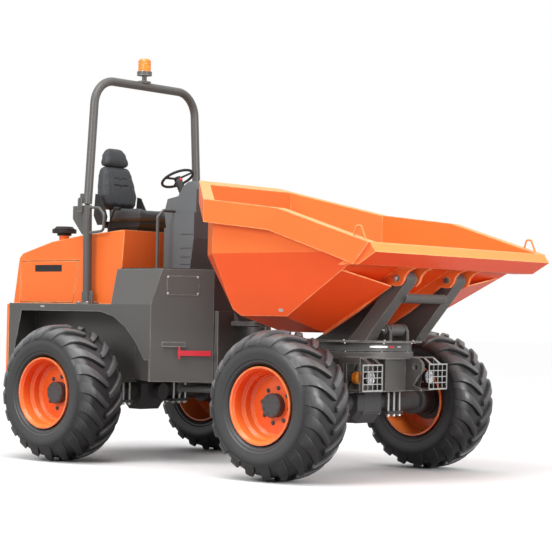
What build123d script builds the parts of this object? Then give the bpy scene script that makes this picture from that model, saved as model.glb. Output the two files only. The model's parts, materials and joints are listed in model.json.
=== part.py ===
from build123d import *
from math import atan2, cos, degrees, radians, sin
import os

os.makedirs("parts", exist_ok=True)

# Swivel-tip site dumper, in millimetres. Everything is drawn from the point on the ground midway
# between the axles: X forward, Y to the driver's left, Z up. shiftX then centres the whole length.
# The rear half carries the engine, platform and hoop, the front half the slewing, tipping skip.

# Fits
touch = 0.3         # between two fixed pieces that bear on each other
turnFit = 0.05      # round a pin, a spindle or a rod
panelGap = 6        # round a door
beyond = 4000       # a cut that runs right out of the machine

# Chassis layout
wheelBase = 2438
halfTrack = 990
tyreRadius = 586
tyreHalf = 250
axleX = wheelBase / 2
axleZ = tyreRadius
rearEndX = -2330
lipX = 2290
shiftX = -(rearEndX + lipX) / 2
steerX = 120
slewX = 1250
tipX, tipZ = 1940, 1585

# Bodywork of the rear half
bodyHalf = 760
slopeTopHalf = bodyHalf - 70
hoodHalf = bodyHalf - 140
fenderTop = 1355
bodyBottom = 705
platformTop = 1660
bodyRear = -2190
sheet = 6
veeX, veeFrontX, veeHalf = -400, -45, 360
hoodFoot = fenderTop + touch
hoodTop = [(-2290, hoodFoot), (-2222, 1767), (-2177, 1808), (-1794, 1909), (-1416, 1960), (-870, 2003)]
hoodFront = -920


# ---- drawing helpers

def box(x0, x1, y0, y1, z0, z1):
    return Pos((x0 + x1) / 2, (y0 + y1) / 2, (z0 + z1) / 2) * Box(abs(x1 - x0), abs(y1 - y0), abs(z1 - z0))


def sidePrism(points, y0, y1):
    # points are (x, z)
    plane = Plane(origin=(0, y0, 0), x_dir=(1, 0, 0), z_dir=(0, -1, 0))
    return extrude(plane * make_face(Polyline(*points, close=True)), amount=y0 - y1)


def planPrism(points, z0, z1):
    # points are (x, y)
    return Pos(0, 0, z0) * extrude(make_face(Polyline(*points, close=True)), amount=z1 - z0)


def crossPrism(points, x0, x1):
    # points are (y, z)
    plane = Plane(origin=(x0, 0, 0), x_dir=(0, 1, 0), z_dir=(1, 0, 0))
    return extrude(plane * make_face(Polyline(*points, close=True)), amount=x1 - x0)


def rod(start, end, radius):
    along = Vector(*end) - Vector(*start)
    return extrude(Plane(origin=start, z_dir=along) * Circle(radius), amount=along.length)


def across(x, z, y0, y1, radius):
    return rod((x, y0, z), (x, y1, z), radius)


def disc(x, y, z0, z1, radius):
    return rod((x, y, z0), (x, y, z1), radius)


def tube(points, radius, bend):
    path = FilletPolyline(*points, radius=bend)
    return sweep(Plane(origin=path @ 0, z_dir=path % 0) * Circle(radius), path=path)


def both(shape):
    return shape + mirror(shape, about=Plane.XZ)


def inward(points, t):
    # an outline of straight sides, points anticlockwise, moved in by t
    moved = []
    for i, (x, y) in enumerate(points):
        (ax, ay), (bx, by) = points[i - 1], points[(i + 1) % len(points)]
        before = Vector(x - ax, y - ay).normalized()
        after = Vector(bx - x, by - y).normalized()
        n1, n2 = Vector(-before.Y, before.X), Vector(-after.Y, after.X)
        k = t / (1 + n1.dot(n2))
        moved.append((x + (n1.X + n2.X) * k, y + (n1.Y + n2.Y) * k))
    return moved


def save(name, shape):
    export_step(Pos(shiftX, 0, 0) * shape, f"parts/{name}.step")


# ---- wheels. Profiles are (distance from the wheel's middle plane towards the outside, radius)

beadRadius, beadHalf = 290, 212
flangeRadius, flangeFace = 303, 228
hubRadius, hubFace = 94, 98
discFace, discThick = 30, 12
hubFlange = 165
spindle = 45

casingRings = [(beadHalf, flangeRadius + 5), (tyreHalf, 412), (tyreHalf - 52, 512)]
casingFacets = 20
casingFlat = 1.006                 # their corners stand out as far as their middles fall short
lugsPerSide = 20
lugLead, lugInner, lugOuter = 194, 4, 246     # how far its middle end leads, and where it starts and ends
lugInnerHalf, lugOuterHalf = 18, 33
# the planes over a lug: how far out, radius there, fall
lugTops = [(60, tyreRadius - 4.7, 0.04), (165, tyreRadius - 26, 0.59), (228, tyreRadius - 84, 1.73)]


def revolved(profile, side):
    plane = Plane(origin=(0, 0, 0), x_dir=(0, side, 0), z_dir=(1, 0, 0))
    return revolve(plane * make_face(Polyline(*profile, close=True)), axis=Axis.Y)


def makeTyre():
    # the casing is lofted through rings of facets. The lugs slant from the shoulder to the middle,
    # those of one side standing between those of the other
    rings = casingRings + [(0, tyreRadius - 31)] + [(-y, r) for y, r in reversed(casingRings)]
    sections = [Plane(origin=(0, y, 0), x_dir=(1, 0, 0), z_dir=(0, -1, 0))
                * RegularPolygon(r * casingFlat, casingFacets) for y, r in rings]
    casing = loft(sections, ruled=True) - across(0, 0, -tyreHalf, tyreHalf, beadRadius)
    along = Vector(-lugLead, lugOuter - lugInner).normalized()
    aside = Vector(along.Y, -along.X)
    inner, outer = Vector(lugLead / 2, lugInner), Vector(-lugLead / 2, lugOuter)
    ends = [inner + aside * lugInnerHalf, outer + aside * lugOuterHalf,
            outer - aside * lugOuterHalf, inner - aside * lugInnerHalf]
    lug = planPrism([(p.X, p.Y) for p in ends], 400, tyreRadius + 40)
    lug = lug & box(-tyreRadius, tyreRadius, 0, tyreHalf - 3, 0, beyond)
    for y, r, fall in lugTops:
        x = lugLead / 2 - lugLead * (y - lugInner) / (lugOuter - lugInner)
        up = Vector(x, 0, (r * r - x * x) ** 0.5)
        face = Plane(origin=up + Vector(0, y, 0), z_dir=up.normalized() + Vector(0, fall, 0))
        lug = split(lug, bisect_by=face, keep=Keep.BOTTOM)
    otherLug = Rot(0, 180 / lugsPerSide, 0) * mirror(lug, about=Plane.XZ)
    lugs = []
    for k in range(lugsPerSide):
        turn = Rot(0, 360 * k / lugsPerSide, 0)
        lugs += (turn * lug).solids() + (turn * otherLug).solids()
    return casing.fuse(*lugs)


rimOuter = [(-flangeFace, flangeRadius), (-beadHalf - touch, flangeRadius),
            (-beadHalf - touch, beadRadius - touch), (beadHalf + touch, beadRadius - touch),
            (beadHalf + touch, flangeRadius), (flangeFace, flangeRadius)]
rimInner = [(flangeFace, flangeRadius - 13), (205, 274), (125, 270), (102, 250), (discFace + 15, 245),
            (discFace, 226), (discFace, hubRadius + touch), (discFace - discThick, hubRadius + touch),
            (discFace - discThick, 236), (discFace - 30, 262), (-flangeFace, flangeRadius - 13)]
hubSeat = discFace - discThick - touch
hubProfile = [(hubFace, 0), (hubFace, hubRadius - 10), (hubFace - 10, hubRadius), (hubSeat, hubRadius),
              (hubSeat, hubFlange), (-8, hubFlange), (-16, 130), (-60, 130), (-60, spindle + turnFit),
              (hubSeat - 8, spindle + turnFit), (hubSeat - 8, 0)]
tyre = makeTyre()
wheels = {"front_right": (axleX, -1), "front_left": (axleX, 1),
          "rear_right": (-axleX, -1), "rear_left": (-axleX, 1)}
for name, (x, side) in wheels.items():
    place = Pos(x, side * halfTrack, axleZ)
    save("tyre_" + name, place * tyre)
    save("rim_" + name, place * revolved(rimOuter + rimInner, side))
    save("hub_" + name, place * revolved(hubProfile, side))

# ---- axles: a beam with a differential, flanges for the hubs, and the plates and studs that clamp it

beamRadius, flangeEndRadius = 82, 118
beamEnd = halfTrack - 65
spindleEnd = halfTrack + hubSeat - 10
clampIn, clampOut, clampHalfX = 255, 470, 130
clampPlate = 22
studLength = 2 * beamRadius + clampPlate + 14
seatZ = axleZ + beamRadius + touch           # where the frames bear on the axles
diffRadius = 190


def axle(x, front):
    half = rod((x, 0, axleZ), (x, beamEnd, axleZ), beamRadius)
    half += rod((x, beamEnd - 160, axleZ), (x, beamEnd, axleZ), flangeEndRadius)
    half += rod((x, beamEnd, axleZ), (x, spindleEnd, axleZ), spindle)
    low = axleZ - beamRadius
    half += box(x - clampHalfX, x + clampHalfX, clampIn, clampOut, low - clampPlate + 6, low + 6)
    for y in (clampIn + 30, (clampIn + clampOut) / 2, clampOut - 30):
        for dx in (-clampHalfX + 22, clampHalfX - 22):
            half += Pos(x + dx, y, low - clampPlate - 14) * extrude(RegularPolygon(11, 6), amount=studLength)
    ball = [(x - 60, axleZ - diffRadius + 25), (x + 90, axleZ - diffRadius + 25), (x + 165, axleZ - 70),
            (x + 165, axleZ + 70), (x + 90, axleZ + diffRadius), (x - 90, axleZ + diffRadius),
            (x - 165, axleZ + 70), (x - 165, axleZ - 70)]
    drum = chamfer(sidePrism(ball, -150, 150).faces().filter_by(Axis.Y).edges(), 40)
    # bolted cover ahead of the housing, with its sump, and the nose for the shaft behind it
    cover = box(x + front * 60, x + front * 165, -112, 112, axleZ - 56, axleZ + 96)
    cover += box(x + front * 60, x + front * 158, -124, 124, axleZ - 88, axleZ - 56)
    nose = rod((x, 0, axleZ), (x - front * 255, 0, axleZ), 70)
    return both(half) + drum + cover + nose


save("front_axle", axle(axleX, 1))
save("rear_axle", axle(-axleX, -1))

# ---- rear chassis: two rails, the bulkhead and the yoke that holds the steering pin

railIn, railOut = 220, 300
railBottom, railTop = 690, 830
yokeLow, yokeHigh, yokePlate = 545, 1190, 35
pinRadius = 40
bulkRear, bulkFront = veeFrontX + touch, -5
bulkHalf, bulkTop, bulkFoot = veeHalf - 15, 1310, 140
anchorX, anchorY, steerCylZ = -450, 330, 640
steerEyeX, steerEyeY = 300, 200
steerPinRadius = 15

rearFrame = both(box(bodyRear + 30, bulkRear, railIn, railOut, railBottom, railTop))
rearFrame += box(bodyRear + 30, bodyRear + 110, -railIn, railIn, railBottom, railTop)
rearFrame += box(-1000, -940, -railIn, railIn, railBottom, railTop)
rearFrame += crossPrism([(-bulkFoot, yokeLow - 5), (bulkFoot, yokeLow - 5), (bulkFoot, railBottom),
                         (bulkHalf, railBottom + 30), (bulkHalf, bulkTop), (-bulkHalf, bulkTop),
                         (-bulkHalf, railBottom + 30), (-bulkFoot, railBottom)], bulkRear, bulkFront)
yoke = planPrism([(bulkFront - 15, -190), (steerX, -90), (steerX, 90), (bulkFront - 15, 190)], 0, yokePlate)
yoke += disc(steerX, 0, 0, yokePlate, 90)
for z in (yokeLow, yokeHigh):
    rearFrame += Pos(0, 0, z) * yoke
rearFrame += disc(steerX, 0, yokeLow - 30, yokeHigh + yokePlate + 30, pinRadius)
# gussets from the bulkhead out over the upper yoke plate
gussetFoot = yokeHigh + yokePlate - 5
rearFrame += both(sidePrism([(bulkFront - 5, gussetFoot), (steerX - 75, gussetFoot),
                             (bulkFront - 5, bulkTop)], 130, 142))
rearFrame += both(box(-axleX - clampHalfX, -axleX + clampHalfX, railIn, clampOut, seatZ, railBottom + 6))
rearFrame += both(disc(anchorX, anchorY, steerCylZ - 51, railBottom + 5, steerPinRadius))
rearFrame += both(box(anchorX - 40, anchorX + 40, railOut - 10, anchorY + 40, railBottom, railBottom + 25))
save("rear_frame", rearFrame)

# engine: one plain block on the rails
save("engine_block", box(-2020, -1320, -railOut, railOut, railTop + touch, 1620))

# ---- rear bodywork: fenders, sloped shoulders and the tapered front, as folded sheet open underneath

veePlan = [(bodyRear, -bodyHalf), (veeX, -bodyHalf), (veeFrontX, -veeHalf), (veeFrontX, veeHalf),
           (veeX, bodyHalf), (bodyRear, bodyHalf)]
archTop = 1290
arch = [(-2125, bodyBottom - 10), (-2125, 870), (-2025, archTop), (-1010, archTop), (-850, 1250),
        (-700, 1160), (-570, 1030), (-470, 885), (veeX - 15, 885), (veeX - 15, bodyBottom - 10)]
linerIn = 440


def bodyHull(t):
    hull = planPrism(inward(veePlan, t), bodyBottom - t, platformTop - t)
    shoulder = [(bodyHalf - t, bodyBottom - 10), (bodyHalf - t, fenderTop), (slopeTopHalf - t, platformTop)]
    shoulder += [(-y, z) for y, z in reversed(shoulder)]
    hull = hull & crossPrism(shoulder, bodyRear - 10, 0)
    return hull - box(bodyRear - 20, hoodFront + 40 + t, -beyond, beyond, fenderTop - t, beyond)


body = bodyHull(0) - bodyHull(sheet) - sidePrism(arch, -beyond, beyond)
linerRear = bodyRear + sheet - 1
liner = [(linerRear, linerIn), (-880, linerIn), (veeX - 10, bodyHalf - 40), (veeX - 10, bodyHalf - 40 + sheet),
         (-882, linerIn + sheet), (linerRear, linerIn + sheet)]
body += both(planPrism(liner, bodyBottom, fenderTop - sheet))
body -= box(-2100, hoodFront - 60, -linerIn + 10, linerIn - 10, fenderTop - 20, fenderTop + 20)
body -= box(veeFrontX - 20, veeFrontX + 10, -veeHalf + 35, veeHalf - 35, bodyBottom - 10, bulkTop - 25)
body -= both(box(bodyRear - 10, bulkRear, railIn - touch, railOut + touch, 0, railTop + touch))
body -= box(bodyRear - 10, bodyRear + 40, -linerIn + 20, linerIn - 20, bodyBottom - 10, 1250)

# the tapered faces carry a bolted cover and a step. Places are along the face from its rear corner
veeAngle = degrees(atan2(bodyHalf - veeHalf, veeFrontX - veeX))
veeFace = Plane(origin=(veeX, -bodyHalf, 0), z_dir=(0, 0, 1),
                x_dir=(cos(radians(veeAngle)), sin(radians(veeAngle)), 0))


def onVee(along0, along1, out, z0, z1):
    return veeFace * box(along0, along1, -out, 2, z0, z1)


body += both(onVee(135, 405, 5, 1440, 1600) + onVee(100, 300, 26, 1000, 1006)
             + onVee(100, 300, 6, 1000, 1040))
save("rear_body", body)

# platform mat
matBottom = platformTop + touch
matTop = matBottom + 8
mat = [(hoodFront + 60, -slopeTopHalf + 20), (veeX + 50, -slopeTopHalf + 20), (veeFrontX - 10, -veeHalf + 20),
       (veeFrontX - 10, veeHalf - 20), (veeX + 50, slopeTopHalf - 20), (hoodFront + 60, slopeTopHalf - 20)]
save("floor_mat", planPrism(mat, matBottom, matTop))

# rear counterweight, with the housings of the back lamps and a notch for the towing pin
bumperBottom, bumperTop = 620, fenderTop - 10
bumperChamfer = 140
bumperRear = rearEndX + 12
bumperSide = bodyHalf - bumperChamfer
bumper = planPrism([(bodyRear - touch, -bodyHalf), (bodyRear - 30, -bodyHalf), (bumperRear, -bumperSide),
                    (bumperRear, bumperSide), (bodyRear - 30, bodyHalf), (bodyRear - touch, bodyHalf)],
                   bumperBottom, bumperTop)
bumper += both(box(rearEndX, rearEndX + 20, bodyHalf - 320, bodyHalf - 170, 1150, 1270))
bumper -= box(rearEndX - 5, rearEndX + 70, -60, 60, 760, 830)
save("rear_bumper", bumper)

# ---- bonnet: a closed hood whose sides open as two doors hung from the top

doorTop, doorBottom = 1735, fenderTop + 14
doorRear, doorFrontTop, doorFrontBottom = -2200, -1440, -1510
hingeZ, hingeY, hingePin = doorTop - 20, hoodHalf - 22, 7
hingeAt = (-2120, -1530)
intakeX, intakeY, intakeTop = -2030, -250, 1985

hoodOutline = hoodTop + [(hoodFront, hoodFoot)]
hood = sidePrism(hoodOutline, -hoodHalf, hoodHalf)
hood -= sidePrism(inward(hoodOutline[::-1], sheet), -hoodHalf + sheet, hoodHalf - sheet)
hood -= box(hoodTop[0][0] + 2 * sheet, hoodFront - sheet, -hoodHalf + sheet, hoodHalf - sheet,
            fenderTop - 5, fenderTop + sheet + 1)
door = [(doorRear, doorBottom), (doorRear, doorTop), (doorFrontTop, doorTop), (doorFrontBottom, doorBottom)]
hood -= sidePrism(inward(door[::-1], -panelGap), -beyond, beyond)
for z in range(1440, 1700, 48):
    hood -= both(box(hoodTop[0][0] - 20, hoodTop[1][0] + 20, 30, 430, z, z + 22))
hood += disc(intakeX, intakeY, 1830, intakeTop, 48)
for x in hingeAt:
    neck = [(hoodHalf - sheet / 2, hingeZ + 53), (hoodHalf - sheet / 2, hingeZ + 75),
            (hingeY - 38, hingeZ + 75), (hingeY - 50, hingeZ + 55), (hingeY - 50, hingeZ - hingePin),
            (hingeY, hingeZ - hingePin), (hingeY, hingeZ + hingePin),
            (hingeY - 32, hingeZ + hingePin), (hingeY - 32, hingeZ + 47)]
    hood += both(crossPrism(neck, x - 45, x - 35))
    hood += both(rod((x - 40, hingeY, hingeZ), (x + 30, hingeY, hingeZ), hingePin))
save("bonnet", hood)

doorPanel = sidePrism(door, hoodHalf - sheet, hoodHalf)
for x in hingeAt:
    doorPanel += rod((x - 20, hingeY, hingeZ), (x + 25, hingeY, hingeZ), hingePin * 2)
    doorPanel += box(x - 20, x + 25, hingeY, hoodHalf - sheet, hingeZ - 14, hingeZ - 4)
    doorPanel -= rod((x - 45, hingeY, hingeZ), (x + 45, hingeY, hingeZ), hingePin + turnFit)
save("bonnet_door_left", doorPanel)
save("bonnet_door_right", mirror(doorPanel, about=Plane.XZ))

# rain cap: a collar, a skirt and a shallow dome
capRadius = 112
cap = disc(intakeX, intakeY, intakeTop + touch, intakeTop + 24, 66)
cap += disc(intakeX, intakeY, intakeTop + 24, intakeTop + 60, capRadius)
capDome = disc(intakeX, intakeY, intakeTop + 60, intakeTop + 84, capRadius - 14)
cap += chamfer(capDome.faces().sort_by(Axis.Z)[-1].edges(), 22)
for k in range(6):
    slot = box(72, capRadius - 12, -24, 24, intakeTop + 20, intakeTop + 44)
    cap -= Pos(intakeX, intakeY, 0) * Rot(0, 0, 60 * k) * slot
save("intake_cap", cap)

# ---- console with a raked column

consoleRear, consoleFront = -758, -400
consoleHalf, binnacleHalf = 245, 222
consoleFoot = matTop + touch
consoleLower = [(consoleRear, consoleFoot), (consoleRear, 2030), (consoleRear + 60, 2050),
                (consoleRear + 105, 2105), (consoleRear + 120, 2165), (consoleFront, 2165),
                (consoleFront, 1940), (consoleFront - 40, consoleFoot)]
consoleUpper = [(consoleRear + 5, 2020), (consoleRear - 22, 2180), (consoleRear + 14, 2290),
                (consoleRear + 140, 2312), (consoleRear + 205, 2400), (consoleRear + 260, 2432),
                (consoleFront - 40, 2440), (consoleFront, 2370), (consoleFront, 2020)]
grooveZ = (1705, 1768, 1846, 1968)
wheelCentre = (-840, 0, 2490)
rake = 29
columnAlong = Vector(-sin(radians(rake)), 0, cos(radians(rake)))
columnHead = Vector(*wheelCentre) - columnAlong * 20
columnFoot = Vector(*wheelCentre) - columnAlong * 300
stub = 12

console = sidePrism(consoleLower, -consoleHalf, consoleHalf)
console += sidePrism(consoleUpper, -binnacleHalf, binnacleHalf)
for z in grooveZ:
    console -= both(box(consoleFront - 150, consoleFront + 10, consoleHalf - 6, consoleHalf + 5, z, z + 10))
console += rod(tuple(columnFoot), tuple(columnHead), 28) + rod(tuple(columnHead), wheelCentre, stub)
save("console", console)

wheelRing, wheelGrip = 145, 12
wheelPlane = Plane(origin=wheelCentre, z_dir=columnAlong)
steering = revolve(Pos(wheelRing, 0) * Plane.XZ * Circle(wheelGrip), axis=Axis.Z)
for angle in (30, 150, 270):
    steering += Rot(0, 0, angle) * box(10, wheelRing, -11, 11, -11, -1)
steering += Pos(0, 0, -6) * Cylinder(34, 24)
steering -= Pos(0, 0, -10) * Cylinder(stub + turnFit, 24)
save("steering_wheel", wheelPlane * steering)

# ---- seat on its suspension base, with a side cover and a lever

seatX = -1350
seatFoot, seatPan = 190, 200
cushionBottom = 2110


def hoodZ(x):
    for (x0, z0), (x1, z1) in zip(hoodTop, hoodTop[1:]):
        if x0 <= x <= x1:
            return z0 + (z1 - z0) * (x - x0) / (x1 - x0)


def onHood(points):
    # the points of the hood's top between the first and last x, and those
    first, last = points
    inside = [x for x, z in hoodTop if first < x < last]
    return [(x, hoodZ(x) + touch) for x in [first] + inside + [last]]


backTilt, backThick = 9, 118
backPlane = Plane(origin=(seatX - 195, 0, 2214), x_dir=(cos(radians(backTilt)), 0, sin(radians(backTilt))),
                  z_dir=(-sin(radians(backTilt)), 0, cos(radians(backTilt))))
seatRear, seatFront = seatX - seatFoot, seatX + seatFoot
bellows = onHood((seatRear, seatFront)) + [(seatFront, 2050), (seatRear, 2050)]
seatBase = sidePrism(bellows, -seatPan + 25, seatPan - 25)
seatBase += sidePrism([(seatRear - 15, 2050), (seatFront + 40, 2050), (seatFront + 60, 2085),
                       (seatFront + 60, cushionBottom), (seatRear - 15, cushionBottom)], -seatPan, seatPan)
seatBase += backPlane * Pos(-backThick / 2 - touch - 6, 0, 40) * Box(12, 160, 360)
seatBase += box(seatX - 260, seatRear, -80, 80, 2070, 2108)
cover = [(seatRear - 62, 2360), (seatRear - 20, 2350), (seatRear + 60, 2215), (seatRear + 88, 2150),
         (seatRear + 70, 2075), (seatRear - 30, 2075), (seatRear - 80, 2160)]
seatBase += both(sidePrism(cover, seatPan + 62, seatPan + 76))
seatBase += both(box(seatRear - 40, seatRear + 20, seatPan - 10, seatPan + 65, 2080, 2104))
leverY = -seatPan - 95
seatBase += tube([(seatX - 60, leverY, hoodZ(seatX - 60) + touch + 5), (seatX - 30, leverY, 2120),
                  (seatX + 25, leverY, 2218), (seatX + 75, leverY, 2214)], 8, 14)
seatBase += rod((seatX + 20, leverY, 2216), (seatX + 85, leverY, 2213), 17)
leverFoot = hoodZ(seatX - 35) + touch
seatBase += box(seatX - 85, seatX - 35, leverY - 15, -seatPan + 30, leverFoot, leverFoot + 22)
save("seat_base", seatBase)
cushion = box(seatX - 130, seatX + 290, -250, 250, cushionBottom + touch, 2225)
save("seat_cushion", chamfer(cushion.edges(), 24))

# back and head rest as shields: (across, up) outlines on the tilted plane, cut to their thickness
backOutline = [(-165, 0), (165, 0), (212, 60), (222, 130), (208, 260), (180, 360), (140, 425), (-140, 425),
               (-180, 360), (-208, 260), (-222, 130), (-212, 60)]
headOutline = [(-135, 438), (135, 438), (138, 478), (112, 556), (80, 586),
               (-80, 586), (-112, 556), (-138, 478)]


def shield(outline, thick, edge):
    plane = Plane(origin=(-thick / 2, 0, 0), x_dir=(0, 1, 0), z_dir=(1, 0, 0))
    solid = extrude(plane * make_face(Polyline(*outline, close=True)), amount=thick)
    faces = solid.faces().sort_by(Axis.X)
    return chamfer(faces[0].edges() + faces[-1].edges(), edge)


back = shield(backOutline, backThick, 22) + shield(headOutline, 96, 20) + box(-12, 12, -70, 70, 400, 460)
save("seat_back", backPlane * back)

# ---- roll-over frame: fixed posts below the fold, hinged hoop above it, with the beacon

ropsX, ropsRadius = -1250, 38
footHalf, foldHalf, archHalf = bodyHalf - 70, bodyHalf - 55, bodyHalf - 125
foldZ, topZ = 2262, 3340
foldX = ropsX - 50
foldPin, earOut = 12, 50
padTop = fenderTop + 12
post = rod((ropsX, footHalf, padTop + touch), (ropsX, foldHalf, foldZ - 42), ropsRadius)
post += box(ropsX - 75, ropsX + 75, hoodHalf + 2, bodyHalf - 5, fenderTop + touch, padTop + touch)
for dx in (-ropsRadius - 28, ropsRadius):
    post += box(ropsX + dx, ropsX + dx + 28, footHalf - 5, footHalf + 5, fenderTop + 6, fenderTop + 110)
post += sidePrism([(foldX - 8, foldZ - 300), (ropsX, foldZ - 300), (ropsX, foldZ - 45),
                   (foldX - 130, foldZ - 45), (foldX - 130, foldZ - 160)], foldHalf - 6, foldHalf + 6)
post += box(foldX - 25, foldX + 25, foldHalf - earOut, foldHalf + earOut, foldZ - 100, foldZ - 80)
for y in (foldHalf - earOut, foldHalf + earOut - 12):
    post += box(foldX - 25, foldX + 25, y, y + 12, foldZ - 90, foldZ) + across(foldX, foldZ, y, y + 12, 25)
post += across(foldX, foldZ, foldHalf - earOut, foldHalf + earOut, foldPin)
post += tube([(ropsX + 20, footHalf + 12, foldZ - 62), (ropsX + 140, footHalf + 12, foldZ - 66),
              (ropsX + 205, footHalf + 12, foldZ - 130), (ropsX + 200, footHalf + 12, foldZ - 270),
              (ropsX + 20, footHalf + 10, foldZ - 285)], 12, 40)
save("rops_posts", both(post))

hoop = tube([(ropsX, -foldHalf, foldZ - 30), (ropsX, -archHalf, topZ), (ropsX, archHalf, topZ),
             (ropsX, foldHalf, foldZ - 30)], ropsRadius, 230)
for side in (-1, 1):
    ear = across(foldX, foldZ, side * foldHalf - 36, side * foldHalf + 36, 25)
    ear += box(foldX - 10, ropsX, side * foldHalf - 36, side * foldHalf + 36, foldZ - 20, foldZ + 60)
    hoop += ear
    hoop -= across(foldX, foldZ, side * foldHalf - 60, side * foldHalf + 60, foldPin + turnFit)
beaconX, beaconY, beaconRadius = ropsX + 5, -35, 60
hoopTop = topZ + ropsRadius
beaconFoot, beaconTop = hoopTop + 96, hoopTop + 216
hoop += box(beaconX - 35, beaconX + 35, beaconY - 50, beaconY + 50, hoopTop - 8, hoopTop + 10)
hoop += disc(beaconX, beaconY, hoopTop, beaconFoot - 34, 22)
hoop += disc(beaconX, beaconY, beaconFoot - 36, beaconFoot, beaconRadius + 8)
save("rops_hoop", hoop)
lens = disc(beaconX, beaconY, beaconFoot + touch, beaconTop, beaconRadius)
save("beacon_lens", chamfer(lens.faces().sort_by(Axis.Z)[-1].edges(), 22))

# ---- grab rails beside the console

railX, railY, railHigh = consoleRear + 90, 420, 2180
rail = tube([(railX, railY, matTop + touch), (railX, railY, railHigh - 60),
             (railX + 10, railY - 60, railHigh), (railX + 10, consoleHalf - 90, railHigh)], 14, 30)
rail -= box(railX - 40, railX + 60, -beyond, binnacleHalf + touch, 0, beyond)
rail += disc(railX, railY, matTop + touch, matTop + 8, 34)
save("grab_rails", both(rail))

# ---- red bar that locks the steering joint, stowed on the right tapered face

bar = veeFace * box(230, 510, -60, -44, 928, 972)
for along in (260, 480):
    bar += veeFace * box(along - 13, along + 13, -44, -touch, 928, 944)
    bar += veeFace * box(along - 15, along + 15, -54, -34, 928, 963)
bar += veeFace * rod((244, -52, 900), (244, -52, 1000), 9)
save("lock_bar", bar)

# ---- front frame on the steering pin, with the lamp box, tow lug and slewing ring ahead

barrelRadius = 85
frameTop, frameBottom, frameHalf = 955, 690, 300
plateX, plateThick = 1610, 20
boxRear, boxHalf, boxTop, boxBottom = 1415, 500, 965, 690
boxBack = boxRear + 75
front = disc(steerX, 0, yokeLow + yokePlate + 10, yokeHigh - 10, barrelRadius)
front += box(steerX + 30, 700, -130, 130, 640, frameTop)
front += box(560, boxBack + 5, -frameHalf, frameHalf, frameBottom, frameTop)
front -= disc(steerX, 0, 0, beyond, pinRadius + turnFit)
front += both(box(axleX - clampHalfX, axleX + clampHalfX, frameHalf - 90, clampOut, seatZ, frameBottom + 6))
front += both(crossPrism([(frameHalf - 5, frameBottom), (clampOut, frameBottom),
                          (frameHalf - 5, frameBottom + 150)], axleX - 8, axleX + 8))
front -= box(axleX - diffRadius - 25, axleX + diffRadius, -diffRadius + 5, diffRadius - 5,
             0, axleZ + diffRadius + 24)
# lamp box: top, bottom and back plates, framed sides open towards the lamps, and a plate on a block
front += box(boxRear, plateX + plateThick, -boxHalf, boxHalf, boxTop - 8, boxTop)
front += box(boxBack, plateX + plateThick, -boxHalf, boxHalf, boxBottom, boxBottom + 8)
front += box(boxBack, boxBack + 8, -boxHalf, boxHalf, boxBottom, boxTop)
sideFrame = sidePrism([(boxRear, boxTop), (plateX + plateThick, boxTop), (plateX + plateThick, boxBottom),
                       (boxBack, boxBottom)], boxHalf - 8, boxHalf)
sideFrame -= box(boxRear + 55, plateX + 8, boxHalf - 20, boxHalf + 5, boxBottom + 18, boxTop - 52)
front += both(sideFrame)
lampY, lampZ, lampRadius = 397, 803, 62
amberY, amberRadius = 438, 50
front += box(boxBack, plateX + 5, -145, 125, boxBottom, boxTop)
front += box(plateX, plateX + plateThick, -165, 118, boxBottom + 2, boxTop - 12)
front += both(box(boxBack, plateX + 10, lampY - 62, lampY - 12, lampZ - 40, lampZ + 40))
front += both(box(boxBack, plateX - 70, amberY - 28, amberY + 28, lampZ - 28, lampZ + 28))
# the tow lug: a plate on edge with a round head, a waist and a spread foot
towX, towY, towZ, towBore, towHead, towPlate = 1728, 113, 888, 24, 74, 25
towSide = [(plateX + 5, boxBottom + 8), (plateX + 168, boxBottom + 8), (plateX + 172, boxBottom + 26),
           (plateX + 98, boxBottom + 52), (towX + 36, towZ - 66), (towX + towHead, towZ - 4),
           (towX, towZ + towHead), (plateX + 5, boxTop - 3)]
towLug = sidePrism(towSide, towY - towPlate / 2, towY + towPlate / 2)
towLug += across(towX, towZ, towY - towPlate / 2, towY + towPlate / 2, towHead)
front += towLug - across(towX, towZ, towY - towPlate, towY + towPlate, towBore)
# ears that take the rods of the steering cylinders
for z in (steerCylZ - 50, steerCylZ + 30):
    front += both(box(steerEyeX - 60, steerEyeX + 60, 125, steerEyeY + 45, z, z + 20))
front += box(steerEyeX - 60, steerEyeX + 60, -130, 130, steerCylZ - 50, 642)
# slewing ring
ringRadius, ringTop = 430, frameTop + 50
spindleRadius, spindleTop = 180, frameTop + 120
front += disc(slewX, 0, frameTop - 5, ringTop, ringRadius)
front += disc(slewX, 0, frameTop - 5, spindleTop, spindleRadius)
save("front_frame", front)

# lamps, and the guards in front of them: flat frames with a grid, on straps from the lamp box
headlamp = rod((plateX + 14, lampY, lampZ), (plateX + 55, lampY, lampZ), lampRadius)
headlamp = chamfer(headlamp.faces().sort_by(Axis.X)[-1].edges(), 14)
headlamp += rod((plateX + 10 + touch, lampY, lampZ), (plateX + 14, lampY, lampZ), lampRadius - 14)
save("headlamps", both(headlamp))
indicator = rod((plateX - 70 + touch, amberY, lampZ), (plateX - 20, amberY, lampZ), amberRadius)
save("indicators", both(chamfer(indicator.faces().sort_by(Axis.X)[-1].edges(), 12)))
guardX, guardIn, guardOut, guardLow, guardHigh = 1707, 312, 572, 700, 912
guardBar, guardRim, guardCells = 7, 11, 4
guard = box(guardX, guardX + guardBar, guardIn, guardOut, guardLow, guardHigh)
cellY = (guardOut - guardIn - 2 * guardRim + guardBar) / guardCells
cellZ = (guardHigh - guardLow - 2 * guardRim + guardBar) / guardCells
for i in range(guardCells):
    for k in range(guardCells):
        y, z = guardIn + guardRim + i * cellY, guardLow + guardRim + k * cellZ
        guard -= box(guardX - 5, guardX + 20, y, y + cellY - guardBar, z, z + cellZ - guardBar)
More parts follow.
